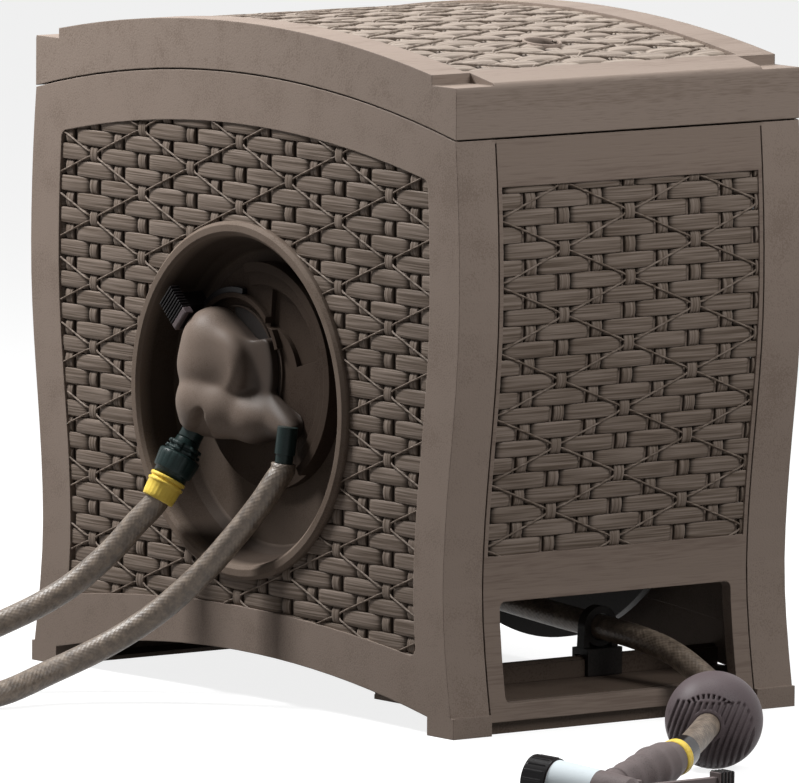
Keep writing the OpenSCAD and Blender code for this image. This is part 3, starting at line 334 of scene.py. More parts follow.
# Cabinet: panels moulded in taupe polypropylene, joined at corner posts. The side frames have a spark-eroded pebble
# grain, and the lid and the front and rear frames a grain drawn out sideways like brushed wood.

def moulded(name, low, high, grain, relief, rough, stretch=(1.0, 1.0, 1.0), blotch=22.0, edge=0.0012,
            sheen=0.15):
    """Moulded plastic: two close shades in soft blotches, and a fine grain of the given size in metres. Its edges
    catch the light as if rounded by the given radius."""
    made, tree = blank_material(name)
    where = add(tree, "TexCoord")
    drawn = add(tree, "Mapping", {"Vector": where.outputs["Object"], "Scale": stretch})
    cloud = add(tree, "TexNoise", {"Vector": drawn.outputs[0], "Scale": blotch, "Detail": 5.0, "Roughness": 0.6})
    fine = add(tree, "TexNoise", {"Vector": drawn.outputs[0], "Scale": 0.9 / grain, "Detail": 2.0})
    mixed = add(tree, "Math", {0: cloud.outputs[0], 1: fine.outputs[0]}, operation="ADD")
    ramp = add(tree, "ValToRGB", {0: mixed.outputs[0]})
    two_shades(ramp, (0.75, low), (1.0, high))
    raised = add(tree, "Bump", {"Strength": 0.5, "Distance": relief, "Height": fine.outputs[0]})
    if edge:
        rounded = add(tree, "Bevel", {"Radius": edge}, samples=6)
        tree.links.new(rounded.outputs[0], raised.inputs["Normal"])
    surface(tree, {"Base Color": ramp.outputs[0], "Roughness": rough, "IOR": 1.49, "Specular IOR Level": sheen,
                   "Normal": raised.outputs[0]})
    return made


def over_base(material, share, shade):
    """Lays a shade over a moulded plastic's colour, by a share between 0 and 1 made in the same node tree."""
    tree = material.node_tree
    skin = next(n for n in tree.nodes if n.bl_idname == "ShaderNodeBsdfPrincipled")
    base = skin.inputs["Base Color"].links[0].from_socket
    laid = add(tree, "Mix", {0: share, 6: base, 7: linear(shade)}, data_type="RGBA")
    tree.links.new(laid.outputs[2], skin.inputs["Base Color"])


def paint_depth_shade(material, near, far, stops, shade):
    """Painted shade: darkens a plastic's colour with its depth in the motor well, from x = near to far in metres."""
    tree = material.node_tree
    where = add(tree, "TexCoord")
    apart = add(tree, "SeparateXYZ", {0: where.outputs["Object"]})
    depth = add(tree, "MapRange", {"Value": apart.outputs[0], "From Min": near, "From Max": far})
    ramp = add(tree, "ValToRGB", {0: depth.outputs[0]})
    while len(ramp.color_ramp.elements) < len(stops):
        ramp.color_ramp.elements.new(0.5)
    for element, (at, share) in zip(ramp.color_ramp.elements, stops):
        element.position, element.color = at, (share, share, share, 1)
    over_base(material, ramp.outputs[0], shade)


def finish_nodes(material, *names):
    """Gives CAD nodes, whose shapes stay as they are, their material."""
    for name in names:
        if not nodes[name].material_slots:
            nodes[name].data.materials.append(material)
        for slot in nodes[name].material_slots:
            slot.material = material


pebbled = moulded("pebble_grained_polypropylene", "#786a60", "#86786e", 0.0013, 0.00035, 0.6)
brushed = moulded("brushed_grain_polypropylene", "#6e6057", "#7c6e64", 0.0016, 0.0004, 0.58, (0.05, 1.0, 1.0), 60.0)
lid_grain = moulded("streaked_grain_lid", "#796b61", "#87796f", 0.0014, 0.0004, 0.58, (0.08, 1.0, 1.0), 40.0)
tray_plain = moulded("plain_moulded_tray", "#463a32", "#554940", 0.002, 0.0002, 0.55)
drum_black = moulded("black_drum_plastic", "#1c1917", "#272321", 0.0018, 0.0002, 0.5)
well_satin = moulded("satin_moulded_well", "#65584e", "#73665c", 0.0011, 0.00015, 0.6, sheen=0.04)
# Painted shade: the well's walls darken between its ring and its floor, where the shadow in the well falls.
paint_depth_shade(well_satin, -0.194, -0.146, [(0.0, 0.0), (0.1, 0.0), (0.3, 0.75), (0.86, 0.75), (0.97, 0.1)], "#1c1410")
# The dial is a dark brown plastic, its shades made darker still as painted shade for the depth of the well.
dial_satin = moulded("satin_moulded_dial", "#332923", "#3f352e", 0.0011, 0.00015, 0.6, edge=0.0007, sheen=0.04)
finish_nodes(pebbled, "motor_side_panel", "far_side_panel")
finish_nodes(brushed, "front_panel", "rear_panel")
finish_nodes(lid_grain, "lid")
finish_nodes(tray_plain, "front_tray", "rear_tray", "guide_rail")
finish_nodes(drum_black, "hose_guide", "motor_flange", "far_flange", "drum_hub", "hub_elbow")
finish_nodes(well_satin, "well_cup")
finish_nodes(dial_satin, "dial_plate")


# Woven fields: moulded in one piece with their panels to look like flat reeds woven over upright stakes,
# with thin cords laid over them in diamonds and tucked in at the stakes.
STAKE_PITCH, REED_PITCH = 35.95, 14.29
STAKE_HALF, REED_HALF = 5.5, 7.0
STAKE_MEAN, STAKE_SWING, STAKE_SPARE = 2.0, 2.2, 20
# CORD_LIGHTER raises the cords' shade height, so that the painted shade leaves them light.
CORD_R, CORD_TOP, CORD_DIVE, CORD_LIGHTER = 1.0, 4.7, 2.2, 2.0
# Each reed and each stake takes its grain from another place of the same noise.
REED_SHIFT, STAKE_SHIFT = (500, 90), 37

reed_plastic, tree = blank_material("reed_grained_polypropylene")
place = add(tree, "UVMap")
drawn = add(tree, "Mapping", {"Vector": place.outputs[0], "Scale": (11.0, 470.0, 1.0)})
strand = add(tree, "TexNoise", {"Vector": drawn.outputs[0], "Scale": 1.0, "Detail": 2.0, "Roughness": 0.55})
tint = add(tree, "ValToRGB", {0: strand.outputs[0]})
two_shades(tint, (0.36, "#594d43"), (0.64, "#83766c"))
# Painted shade: reeds, stakes and cords darken towards the panel, for the shade in the gaps between them.
shade_height = add(tree, "Attribute", attribute_name="shade_height")
deep = add(tree, "MapRange", {"Value": shade_height.outputs["Fac"], "From Min": 0.3, "From Max": 3.2})
shade = add(tree, "Mix", {0: deep.outputs[0], 6: linear("#080503"), 7: tint.outputs[0]}, data_type="RGBA")
raised = add(tree, "Bump", {"Strength": 0.7, "Distance": 0.0009, "Height": strand.outputs[0]})
surface(tree, {"Base Color": shade.outputs[2], "Roughness": 0.58, "IOR": 1.49, "Specular IOR Level": 0.12,
               "Normal": raised.outputs[0]})


def mirrored(half, sign=1):
    """Values from the middle outwards, with the same ones times the sign, in turned order, before them."""
    return np.array([sign * x for x in half[:0:-1]] + half)


def reed_patch(columns, rows):
    """Reeds of one field: each is a flat strip between two visible stakes, bent a little over the stake that it
    hides, and its ends dive to the panel. Returns u, v, height, UV and the painted shade's height of every point."""
    t = mirrored([0, 6, 12, 18, 21.5, 23.4, 24.8, 26, 27.2, 28.4], -1)
    top = mirrored([4.65, 4.6, 4.45, 4.15, 3.8, 3.4, 2.9, 2.3, 1.4, 0])
    s = mirrored([0, 0.4, 0.88, 0.96, 1, 1], -1)
    drop = mirrored([0, 0, 0.1, 0.45, 1.0, 9])
    spots = np.array([(c, r) for r in rows for c in columns if (c + r) % 2])
    u = spots[:, 0, None, None] * STAKE_PITCH + t[:, None] + 0 * s
    v = spots[:, 1, None, None] * REED_PITCH + REED_HALF * s + 0 * u
    h = np.clip(top[:, None] - drop, 0, None) + 0 * u
    shift = np.random.default_rng(7).uniform(0, 1, (len(spots), 1, 1))
    uv = np.stack([(u + REED_SHIFT[0] * shift) / 1000, (v + REED_SHIFT[1] * shift) / 1000], -1)
    return u, v, h, uv, h


def stake_patch(columns, v0, v1):
    """Stakes of one field: each waves over and under the reeds, highest where it shows."""
    s = mirrored([0, 0.8, 0.92, 1, 1], -1)
    drop = mirrored([0, 0.05, 0.25, 0.8, 9])
    up = np.arange(v0, v1, REED_PITCH / 7)[:, None]
    c = np.array(columns)[:, None, None]
    u = c * STAKE_PITCH + STAKE_HALF * s + 0 * up
    v = up + 0 * u
    swing = np.cos(np.pi * (v / REED_PITCH - c))
    h = np.clip(STAKE_MEAN + STAKE_SWING * np.sign(swing) * np.abs(swing) ** 0.6 - drop, 0, None)
    uv = np.stack([(v + STAKE_SHIFT * c) / 1000, u / 1000], -1)
    return u, v, h, uv, h


def cord_patch(columns, rows):
    """Cords from each tie to the next two columns on, two rows up and two rows down: round, and low at the ties."""
    runs = np.array([(c, r, side) for r in rows for c in columns for side in (1, -1)
                     if c % 2 == 0 and r % 2 == 0 and (c // 2 + r // 2) % 2 == 0])
    q = np.array([0.075, 0.1, 0.14, 0.22, 0.34, 0.5, 0.66, 0.78, 0.86, 0.9, 0.925])
    rise = CORD_TOP - CORD_DIVE * smoothstep(0.12, 0.07, q) - CORD_DIVE * smoothstep(0.88, 0.93, q)
    a = np.linspace(0, 2 * np.pi, 7)
    u = runs[:, 0, None, None] * STAKE_PITCH + 2 * STAKE_PITCH * q[:, None] + 0 * a
    v = (runs[:, 1, None, None] * REED_PITCH + 2 * REED_PITCH * runs[:, 2, None, None] * q[:, None]
         + CORD_R * np.cos(a))
    h = rise[:, None] + CORD_R * np.sin(a) + 0 * u
    uv = np.stack([u / 1000, v / 1000], -1)
    return u, v, h, uv, h + CORD_LIGHTER


def woven_field(name, origin, span_u, span_v, lay, inside, body, slot_name, material):
    """Reeds, stakes and cords over a field, put on the panel by lay(u, v, height) and cut by inside(u, v)."""
    columns = range(int((span_u[0] - origin[0]) // STAKE_PITCH) - 1, int((span_u[1] - origin[0]) // STAKE_PITCH) + 2)
    rows = range(int((span_v[0] - origin[1]) // REED_PITCH) - 1, int((span_v[1] - origin[1]) // REED_PITCH) + 2)
    patches = [reed_patch(columns, rows),
               stake_patch(columns, span_v[0] - origin[1] - STAKE_SPARE, span_v[1] - origin[1] + STAKE_SPARE),
               cord_patch(range(columns[0] - 1, columns[-1] + 1), range(rows[0] - 2, rows[-1] + 3))]
    points, quads, uvs, shade_heights, start = [], [], [], [], 0
    for u, v, h, uv, shade_height in patches:
        count, long_side, cross = u.shape
        u, v = u + origin[0], v + origin[1]
        faces = grid_faces(long_side, cross, count=count)
        middle_u = u.ravel()[faces].mean(1)
        middle_v = v.ravel()[faces].mean(1)
        faces = faces[inside(middle_u, middle_v)]
        points.append(np.stack(lay(u, v, h), -1).reshape(-1, 3) / 1000)
        quads.append(faces + start)
        uvs.append(uv.reshape(-1, 2))
        shade_heights.append(shade_height.ravel())
        start += u.size
    points, quads, uvs, shade_heights = np.vstack(points), np.vstack(quads), np.vstack(uvs), np.concatenate(shade_heights)
    used = np.zeros(len(points), bool)
    used[quads.ravel()] = True
    number = np.cumsum(used) - 1
    piece = make_piece(name, points[used], number[quads], material, body, uvs[used])
    piece.data.attributes.new("shade_height", "FLOAT", "POINT").data.foreach_set("value", shade_heights[used].astype(np.float32))


SIDE_X, CAB_D, FOOT_H, SEAM_Z, SEAM_RISE = 188, 626, 18, 514, 35
BELLY_Z, PINCH_Z, PINCH_IN, TOP_IN, FLARE = 375, 120, 20, 7, 12
POST_W, FIELD_IN, AXIS_Z, RING_R = 42, 6, 263, 157


def edge_y(z):
    """Half depth of the cabinet's side profile at a height: an S from the belly to the pinch, then a flare."""
    z = np.asarray(z, float)
    high = CAB_D / 2 - TOP_IN * ((z - BELLY_Z) / (SEAM_Z - BELLY_Z)) ** 2
    middle = CAB_D / 2 - PINCH_IN * (1 - np.cos(np.pi * (BELLY_Z - z) / (BELLY_Z - PINCH_Z))) / 2
    low = CAB_D / 2 - PINCH_IN + FLARE * (np.clip(PINCH_Z - z, 0, None) / (PINCH_Z - FOOT_H)) ** 1.5
    return np.where(z >= BELLY_Z, high, np.where(z >= PINCH_Z, middle, low))


def arch_z(y, half, z_end, rise):
    """Height of a flat arch: a circle through its two ends and its crown."""
    r = (half * half + rise * rise) / (2 * rise)
    return z_end + rise - r + np.sqrt(np.clip(r * r - y * y, 0, None))


EDGE_COVER, RING_COVER, HOLE_CLEAR = 1.5, 3, 1
FIELD_TOP, FIELD_TOP_RISE, FIELD_BOT, FIELD_BOT_RISE = SEAM_Z - 36, 27, 65, 17
END_HALF, END_TOP, FRONT_BOT, REAR_BOT = 140.5, SEAM_Z - 41, 153, 62


def in_side_field(y, z):
    """Whether places lie between the side's half posts and its two arches, or under the edge's cover."""
    top = arch_z(y, edge_y(FIELD_TOP) - POST_W, FIELD_TOP, FIELD_TOP_RISE)
    bottom = arch_z(y, edge_y(FIELD_BOT) - POST_W, FIELD_BOT, FIELD_BOT_RISE)
    return (np.abs(y) < edge_y(z) - POST_W + EDGE_COVER) & (z < top + EDGE_COVER) & (z > bottom - EDGE_COVER)


def in_end_field(x, z, bottom):
    """Whether places lie in the upright rectangle of the front or the rear, or under the edge's cover."""
    return (np.abs(x) < END_HALF + EDGE_COVER) & (z < END_TOP + EDGE_COVER) & (z > bottom - EDGE_COVER)


def outside_ring(y, z):
    """Whether places of the motor's side lie in its field and outside the ring of the well."""
    return in_side_field(y, z) & (np.hypot(y, z - AXIS_Z) > RING_R - RING_COVER)


SIDE_TIE, SIDE_SPANS = (6.3, 431.8), ((-275, 275), (60, 510))
for name, side, inside in (("motor_side_weave", -1, outside_ring), ("far_side_weave", 1, in_side_field)):
    woven_field(name, SIDE_TIE, *SIDE_SPANS, lambda y, z, h: (side * (SIDE_X - FIELD_IN + h), y, z), inside,
                "cabinet", "taupe_plastic", reed_plastic)
END_TIE, END_SPAN = (0, 445.5), (-145, 145)
for name, side, span, bottom in (("front_weave", -1, (150, 476), FRONT_BOT), ("rear_weave", 1, (58, 476), REAR_BOT)):
    woven_field(name, END_TIE, END_SPAN, span, lambda x, z, h: (x, side * (edge_y(z) - FIELD_IN + h), z),
                lambda x, z: in_end_field(x, z, bottom), "cabinet", "front_plastic", reed_plastic)

LID_TOP, LID_DROP, LID_FIELD_IN = SEAM_Z + SEAM_RISE + 45, 32, 8
LID_HALF_X, LID_HALF_Y, LID_RELIEF = 150, 266, 1.2
SEAM_Y = float(edge_y(SEAM_Z))
FINGER_HOLE = (4, -178, 15)


def lid_z(y):
    """Height of the lid's arched top."""
    return arch_z(y, SEAM_Y, LID_TOP - LID_DROP, LID_DROP)


# Painted light: the lid's reeds get lighter shades than the sides' reeds, for the light falling on the lid's top.
lid_reeds = reed_plastic.copy()
lid_reeds.name = "lid_reeds_painted_light"
for node in lid_reeds.node_tree.nodes:
    if node.bl_idname == "ShaderNodeValToRGB":
        two_shades(node, (0.36, "#6c5f55"), (0.64, "#988b7f"))
    if node.bl_idname == "ShaderNodeBsdfPrincipled":
        node.inputs["Specular IOR Level"].default_value = 0.4
woven_field("lid_weave", (0, 0), (-152, 152), (-268, 268),
            lambda x, y, h: (x, y, lid_z(y) - LID_FIELD_IN + LID_RELIEF * h),
            lambda x, y: (np.abs(x) < LID_HALF_X + EDGE_COVER) & (np.abs(y) < LID_HALF_Y + EDGE_COVER)
            & (np.hypot(x - FINGER_HOLE[0], y - FINGER_HOLE[1]) > FINGER_HOLE[2] + HOLE_CLEAR),
            "lid", "lid_plastic", lid_reeds)


# Trim of the cabinet: the front panel's top edge, which closes the gap under the lid, and the rim of the lid's
# finger hole. Each is moulded in one with its panel and has its grain.

def bands(name, rows, material, body, closed=False, smooth=False):
    """A strip or ring of given rows of points, each row a closed outline; open strips get flat ends."""
    rows = np.asarray(rows, float)
    if not closed:
        rows = np.concatenate([rows[:1].mean(1, keepdims=True) + 0 * rows[:1], rows,
                               rows[-1:].mean(1, keepdims=True) + 0 * rows[-1:]], 0)
    else:
        rows = np.concatenate([rows, rows[:1]], 0)
    closed_rows(name, rows, material, body, smooth)


EDGE_HALF, EDGE_TOP = 148.5, SEAM_Z - 0.2
EDGE_OUTLINE = np.array([(0.0, -3.0), (0.0, 0.0), (4.0, 0.0), (4.0, -3.0)])
edge_front = float(edge_y(SEAM_Z - 1.5))
bands("front_top_edge", [[(x, -edge_front + d, EDGE_TOP + h) for d, h in EDGE_OUTLINE]
                         for x in (-EDGE_HALF, EDGE_HALF)], brushed, "cabinet")
RIM_OUTLINE = [(0.0, -1.0), (0.0, 6.4), (0.6, 7.0), (1.8, 7.0), (2.4, 6.4), (2.4, -1.0)]
rim_x, rim_y, rim_r = FINGER_HOLE
bands("finger_rim", [[(rim_x + (rim_r + r) * np.cos(t), rim_y + (rim_r + r) * np.sin(t),
                       lid_z(rim_y + (rim_r + r) * np.sin(t)) - LID_FIELD_IN + h) for r, h in RIM_OUTLINE]
                     for t in np.linspace(0, 2 * np.pi, 49)[:-1]],
      lid_grain, "lid", closed=True, smooth=True)


# Motor housing: a satin casting of two smooth bodies. The upper one bulges over the turbine and runs out to the
# round foot; the lower one lies over it with a crease between them and takes the inlet and the drain.
DIAL_X, LEVER_AXIS = -158, (40.256, 286.143)
HOUSING_MIDDLE = np.array([DIAL_X - 1.0, 36, 283])
UPPER_LOBES = [((-168, 64, 310.6), 27.5), ((-168, 66.7, 285.6), 31), ((-156, 50, 292), 34)]
LOWER_LOBES = [((-176, 64, 256.4), 31), ((-171, 39, 251.5), 29), ((-163, 10, 244), 25), ((-157, -10, 249), 21),
               ((-158, -34, 243), 17.5), ((-170, -48, 245), 12.5)]
RIDGE = ((-188, 54.5, 297.5), 6.5, (-176, 64, 256.4), 31)
PORT_HOLLOW = ((-195, 44.5, 250.5), 4.0, (-190, 58, 214), 18)
# Middle across (y, z), radius and height; the turbine's room has the radius of its edge last.
FOOT, TURBINE_ROOM = (40.3, 286.1, 57.5, 9.0), (40.3, 289.1, 31.0, 27.5, 9.0)
WINDOW_EDGE = ((26.0, 307.0), (0.288, 0.958))
UPPER_SOFT, LOWER_SOFT, LOWER_BACK, CREASE = 5.0, 6.0, 3.5, 1.6
INLET_R, INLET_BACK, HOLLOW_SOFT, HOLLOW_RIM = 15.2, 3, 2.0, 1.2
DOME_RINGS, DOME_SIDES, DOME_REACH, DOME_STEPS, DOME_PASSES = 110, 220, 105, 170, 10


def round_cone(p, a, r1, b, r2):
    """Signed distance to two balls and the cone that wraps them: the nearest of the family of balls between."""
    a, b = np.array(a, float), np.array(b, float)
    span = b - a
    length = np.linalg.norm(span)
    along = (p - a) @ span / length
    off = np.sqrt(np.maximum(((p - a) ** 2).sum(-1) - along ** 2, 0))
    lean = (r1 - r2) / length
    foot = np.clip((along + off * lean / np.sqrt(1 - lean * lean)) / length, 0, 1)
    return np.hypot(along - foot * length, off) - (r1 + foot * (r2 - r1))


def joined(fields, soft):
    """Smooth union of distance fields: -soft * log(sum exp(-d / soft))."""
    d = np.stack(fields)
    least = d.min(0)
    return least - soft * np.log(np.exp(-(d - least) / soft).sum(0))


def housing_field(p):
    """Signed distance, in millimetres, to the housing's skin, negative inside: the two bodies joined with a narrow
    crease, less the hollow round the inlet."""
    def balls(lobes):
        """Distances to each ball."""
        return [np.linalg.norm(p - np.array(middle), axis=-1) - r for middle, r in lobes]
    y, z, r, high = FOOT
    round_foot = np.hypot(p[..., 1] - y, p[..., 2] - z) - r
    (edge_at, edge_up), (up_y, up_z) = WINDOW_EDGE
    window = (p[..., 1] - edge_at) * up_y + (p[..., 2] - edge_up) * up_z
    foot = np.maximum(np.maximum(round_foot, DIAL_X - high - p[..., 0]), window)
    y, z, r, high, edge = TURBINE_ROOM
    wide = np.hypot(p[..., 1] - y, p[..., 2] - z) - r + edge
    deep = DIAL_X - high - p[..., 0] + edge
    room = np.hypot(np.maximum(wide, 0), np.maximum(deep, 0)) + np.minimum(np.maximum(wide, deep), 0) - edge
    upper = joined(balls(UPPER_LOBES) + [foot, room], UPPER_SOFT)
    lower = joined(balls(LOWER_LOBES) + [round_cone(p, *RIDGE)], LOWER_SOFT) + LOWER_BACK
    body = joined([upper, lower], CREASE)
    along = (p - CONNECTOR_AT) @ connector_dir
    off = np.linalg.norm(p - CONNECTOR_AT - along[..., None] * connector_dir, axis=-1)
    hollow = joined([round_cone(p, *PORT_HOLLOW), np.maximum(off - INLET_R, -along - INLET_BACK)], HOLLOW_SOFT)
    return -joined([-body, hollow], HOLLOW_RIM)


def dome_grid(rings, sides):
    """Directions over the half sphere that faces -X, from its pole to its rim."""
    polar = np.linspace(0, 0.5 * np.pi, rings)[:, None]
    round_ = np.linspace(0, 2 * np.pi, sides, endpoint=False)[None, :]
    return np.stack([-np.cos(polar) + 0 * round_, np.sin(polar) * np.cos(round_), np.sin(polar) * np.sin(round_)], -1)


def skin_along(field, middle, directions, reach, steps):
    """First place on each ray where the field turns positive, found by marching and one straight cut."""
    far = np.linspace(0, reach, steps)
    values = np.stack([field(middle + t * directions) for t in far])
    first = np.argmax(values > 0, axis=0)
    first[values.max(0) <= 0] = steps - 1
    after = np.take_along_axis(values, first[None], 0)[0]
    before = np.take_along_axis(values, np.maximum(first - 1, 0)[None], 0)[0]
    part = np.clip(-before / np.where(after == before, 1, after - before), 0, 1)
    return middle + (far[np.maximum(first - 1, 0)] + part * far[1])[..., None] * directions


housing_satin = moulded("satin_cast_housing", "#6d5f55", "#796b61", 0.0009, 0.00012, 0.5, edge=0.0)
# Painted shade: the housing darkens towards the dial, where its flanks turn away from the light.
paint_depth_shade(housing_satin, -0.187, -0.165, [(0.0, 0.0), (0.25, 0.1), (1.0, 0.85)], "#1f1713")
directions = dome_grid(DOME_RINGS, DOME_SIDES)
skin_points = skin_along(housing_field, HOUSING_MIDDLE, directions, DOME_REACH, DOME_STEPS)
reach = np.linalg.norm(skin_points - HOUSING_MIDDLE, axis=-1)
# Each pass evens out every ray's length with those of its four neighbours.
for _ in range(DOME_PASSES):
    reach[1:-1] = 0.5 * reach[1:-1] + 0.125 * (reach[2:] + reach[:-2] + np.roll(reach, 1, 1)[1:-1] +
                                              np.roll(reach, -1, 1)[1:-1])
housing = closed_rows("motor_housing_skin", HOUSING_MIDDLE + reach[..., None] * directions, housing_satin, "cabinet")
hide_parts("motor_housing")


# Dial window: above the foot's straight edge the casting is open, with the dial's thin guide ribs round it.
# The ribs are moulded with the dial plate; its outer band is bare. Thin black sheets in the opening and in the slit
# by the outer rib are painted shade.

def round_rib(name, radius, turns, width, height, material):
    """A rib of square section that follows a circle about the lever's axis, over the given turns in degrees."""
    rows = []
    for t in np.radians(np.arange(turns[0], turns[1] + 0.1, 3.0)):
        out = np.array([0, np.cos(t), np.sin(t)])
        rows.append([np.array([DIAL_X + x, *LEVER_AXIS]) + (radius + r) * out
                     for x, r in ((0.5, -width), (0.5, width), (-height, width), (-height, -width))])
    bands(name, rows, material, "cabinet")


round_rib("window_painted_shade", 44.0, (82, 152), 10.5, 0.3, drum_black)
round_rib("window_rib", 54.2, (78, 150), 0.9, 2.2, well_satin)
round_rib("guide_slit_painted_shade", 60.2, (149, 203), 1.0, 0.3, drum_black)
round_rib("guide_rib", 63.4, (146, 203), 0.9, 2.0, well_satin)


# Quick connector: a blue-black latch body with claws, a fluted sleeve that slides over it to let go, and a
# yellow collar that clamps the hose.
connector_dark = moulded("blue_black_nylon", "#16211f", "#1f2d2c", 0.001, 0.0001, 0.34)
collar_yellow = moulded("yellow_collar_plastic", "#deb23a", "#f3d460", 0.002, 0.0001, 0.35)


def turned(name, start, direction, profile, material, body, sides, wobble=None):
    """A turned piece: rings of the profile's (height, radius) about an axis. Wobble(angle, height) adds to the
    radius."""
    axis = unit(np.asarray(direction, float))
    first = unit(np.cross(axis, [0.2, 0.3, 0.93]))
    second = np.cross(axis, first)
    h, r = np.array(profile, float).T
    a = np.linspace(0, 2 * np.pi, sides, endpoint=False)
    r = r[:, None] + (0 if wobble is None else wobble(a[None, :], h[:, None]) * (r[:, None] > 0.01))
    points = (np.asarray(start, float) + h[:, None, None] * axis
              + r[..., None] * (np.cos(a)[:, None] * first + np.sin(a)[:, None] * second))
    return closed_rows(name, points, material, body)


BODY_PROFILE = [(0.4, 0), (0.4, 10.4), (1, 11), (5, 11.4), (6, 14.2), (8.5, 14.6), (9, 12.6), (10.5, 12.6), (11, 15),
                (13.6, 15.4), (14, 13.4), (14.6, 15.3), (37.6, 15.3), (37.6, 0)]


def claws(a, h):
    """Six flat-topped cosine teeth round the latch's head."""
    return np.where((h > 5.5) & (h < 13.8), 1.2 * np.clip(np.cos(6 * a) * 3, -1, 1), 0)


connector_body = turned("connector_body_skin", CONNECTOR_AT, connector_dir, BODY_PROFILE, connector_dark, "cabinet",
                        sides=96, wobble=claws)
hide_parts("connector_body")
SLEEVE_PROFILE = [(15.2, 15.9), (15.2, 17.2), (16, 18.6), (17.5, 19.3), (22, 19.0), (28, 18.2), (31.5, 17.8),
                  (32.6, 17.2), (33, 16.6), (33, 15.9), (15.2, 15.9)]
sleeve = turned("connector_sleeve_skin", CONNECTOR_AT, connector_dir, SLEEVE_PROFILE, connector_dark, "sleeve",
                sides=120,
                wobble=lambda a, h: -0.45 * (np.cos(20 * a) > 0.55) * ((h > 17) & (h < 31)))
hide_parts("connector_sleeve")
COLLAR_PROFILE = [(38.0, 0), (38.0, 15.6), (38.5, 16.4), (40.6, 16.5), (41.2, 15.9), (41.5, 14.8), (43.0, 14.8),
                  (43.3, 16.2), (44.0, 16.6), (45.4, 16.5), (45.8, 15.9), (46.3, 15.5), (52, 15.2), (56, 14.9),
                  (59.2, 14.5), (60.0, 13.6), (60.2, 11.3), (50.5, 11.3), (50.5, 0)]
collar = turned("connector_collar_skin", CONNECTOR_AT, connector_dir, COLLAR_PROFILE, collar_yellow, "cabinet",
                sides=96,
                wobble=lambda a, h: -0.5 * (np.cos(24 * a) > 0.3) * ((h > 47) & (h < 57)))
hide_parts("connector_collar")
finish_nodes(connector_dark, "inlet_stub", "drain_stub")


# Control lever: a black nylon ring segment that turns on the housing's foot, with a finger grip of thin ribs
# whose inner end is worn pale.
lever_black = moulded("black_lever_nylon", "#141112", "#1d1a1b", 0.001, 0.0001, 0.36)
grip_tip = moulded("worn_grip_tip", "#4d4446", "#5b5152", 0.001, 0.0001, 0.4)
finish_nodes(lever_black, "control_lever")
LEVER_ANGLE = np.radians(43)
LEVER_OUT = np.array([0, np.cos(LEVER_ANGLE), np.sin(LEVER_ANGLE)])
LEVER_SIDE = np.array([0, -np.sin(LEVER_ANGLE), np.cos(LEVER_ANGLE)])
GRIP_IN, GRIP_OUT, GRIP_BAR_X, GRIP_RIB_X = 57.0, 89.0, -186.0, -188.0


def blocks(name, boxes, material, body, bevel=0.4):
    """Boxes given as middle, half sizes and three axes, each with its edges cut back by the bevel."""
    points, quads = [], []
    square = np.array([(-1, -1), (1, -1), (1, 1), (-1, 1)], float)
    for middle, half, axes in boxes:
        half = np.asarray(half, float)
        inner = half - bevel
        rings = [np.column_stack([square * size[:2], np.full(4, height)]) for height, size in (
            (-half[2], 0 * half), (-half[2], inner), (-inner[2], half), (inner[2], half), (half[2], inner),
            (half[2], 0 * half))]
        quads.append(grid_faces(len(rings), 4, True) + 4 * len(rings) * len(points))
        points.append(np.asarray(middle) + np.vstack(rings) @ np.asarray(axes))
    return make_piece(name, np.vstack(points) / 1000, np.vstack(quads), material, body, tidy=True,
                      smooth=False)


def grip_box(out, x, half):
    """A box of the grip with its half sizes, at a distance out from the lever's axis and a place x."""
    return np.array([x, *LEVER_AXIS]) + out * LEVER_OUT, half, [LEVER_OUT, LEVER_SIDE, [-1.0, 0.0, 0.0]]


grip_boxes = [grip_box(0.5 * (GRIP_IN + GRIP_OUT), GRIP_BAR_X, (0.5 * (GRIP_OUT - GRIP_IN), 10.4, 2.6))]
grip_boxes += [grip_box(out, GRIP_RIB_X, (0.75, 11.6, 5.0)) for out in np.linspace(GRIP_IN + 8.2, GRIP_OUT - 1.2, 8)]
grip = blocks("lever_grip_skin", grip_boxes, lever_black, "lever")
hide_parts("lever_grip")
blocks("lever_grip_tip", [grip_box(GRIP_IN + 3.4, GRIP_RIB_X, (3.2, 11.6, 5.0))], grip_tip, "lever",
       bevel=1.0)


# Hose stop: a ball of purple-black polyamide in two halves, screwed together on the hose. Its front half has
# parallel ribs round the mouth and a row of slots above them.
ball_grape = moulded("purple_black_polyamide", "#4a4143", "#594f51", 0.001, 0.00015, 0.5)
BALL_AT, BALL_TO = np.array([-110.7, -569.2, 42.0]), np.array([-141.4, -597.8, 42.0])
BALL_R, BALL_BORE, BALL_SIDES = 41.5, 11.35, 360
GROOVE_LEAN, GROOVE_PITCH, GROOVE_DEEP = np.radians(20), 4.9, 2.4
SLOT_ROW_R, SLOT_PITCH, SLOT_DEEP = 28.5, 9.0, 3.0
ball_dir = unit(BALL_TO - BALL_AT)
ball_side = np.cross([0.0, 0.0, 1.0], ball_dir)


def ball_relief(across, high, front):
    """Depth of the relief at places across and up the ball: grooves that follow a leaning cosine in a round field,
    and slots at even turns on an arc above it."""
    slant = across * np.cos(GROOVE_LEAN) - high * np.sin(GROOVE_LEAN)
    far = np.hypot(across, high + 4)
    field = smoothstep(37.5, 36, far) * smoothstep(20.5, 18.5, high) * smoothstep(14.0, 15.2, np.hypot(across, high))
    groove = smoothstep(0.15, -0.25, np.cos(2 * np.pi * slant / GROOVE_PITCH)) * field
    turn = np.degrees(np.arctan2(across, high + 4))
    slot = (smoothstep(2.0, 1.4, np.abs(far - SLOT_ROW_R)) * (np.abs(turn) < 46) * (high > 19)
            * smoothstep(-0.1, 0.3, np.cos(2 * np.pi * turn / SLOT_PITCH)))
    return (GROOVE_DEEP * groove + SLOT_DEEP * slot) * (front > 2)


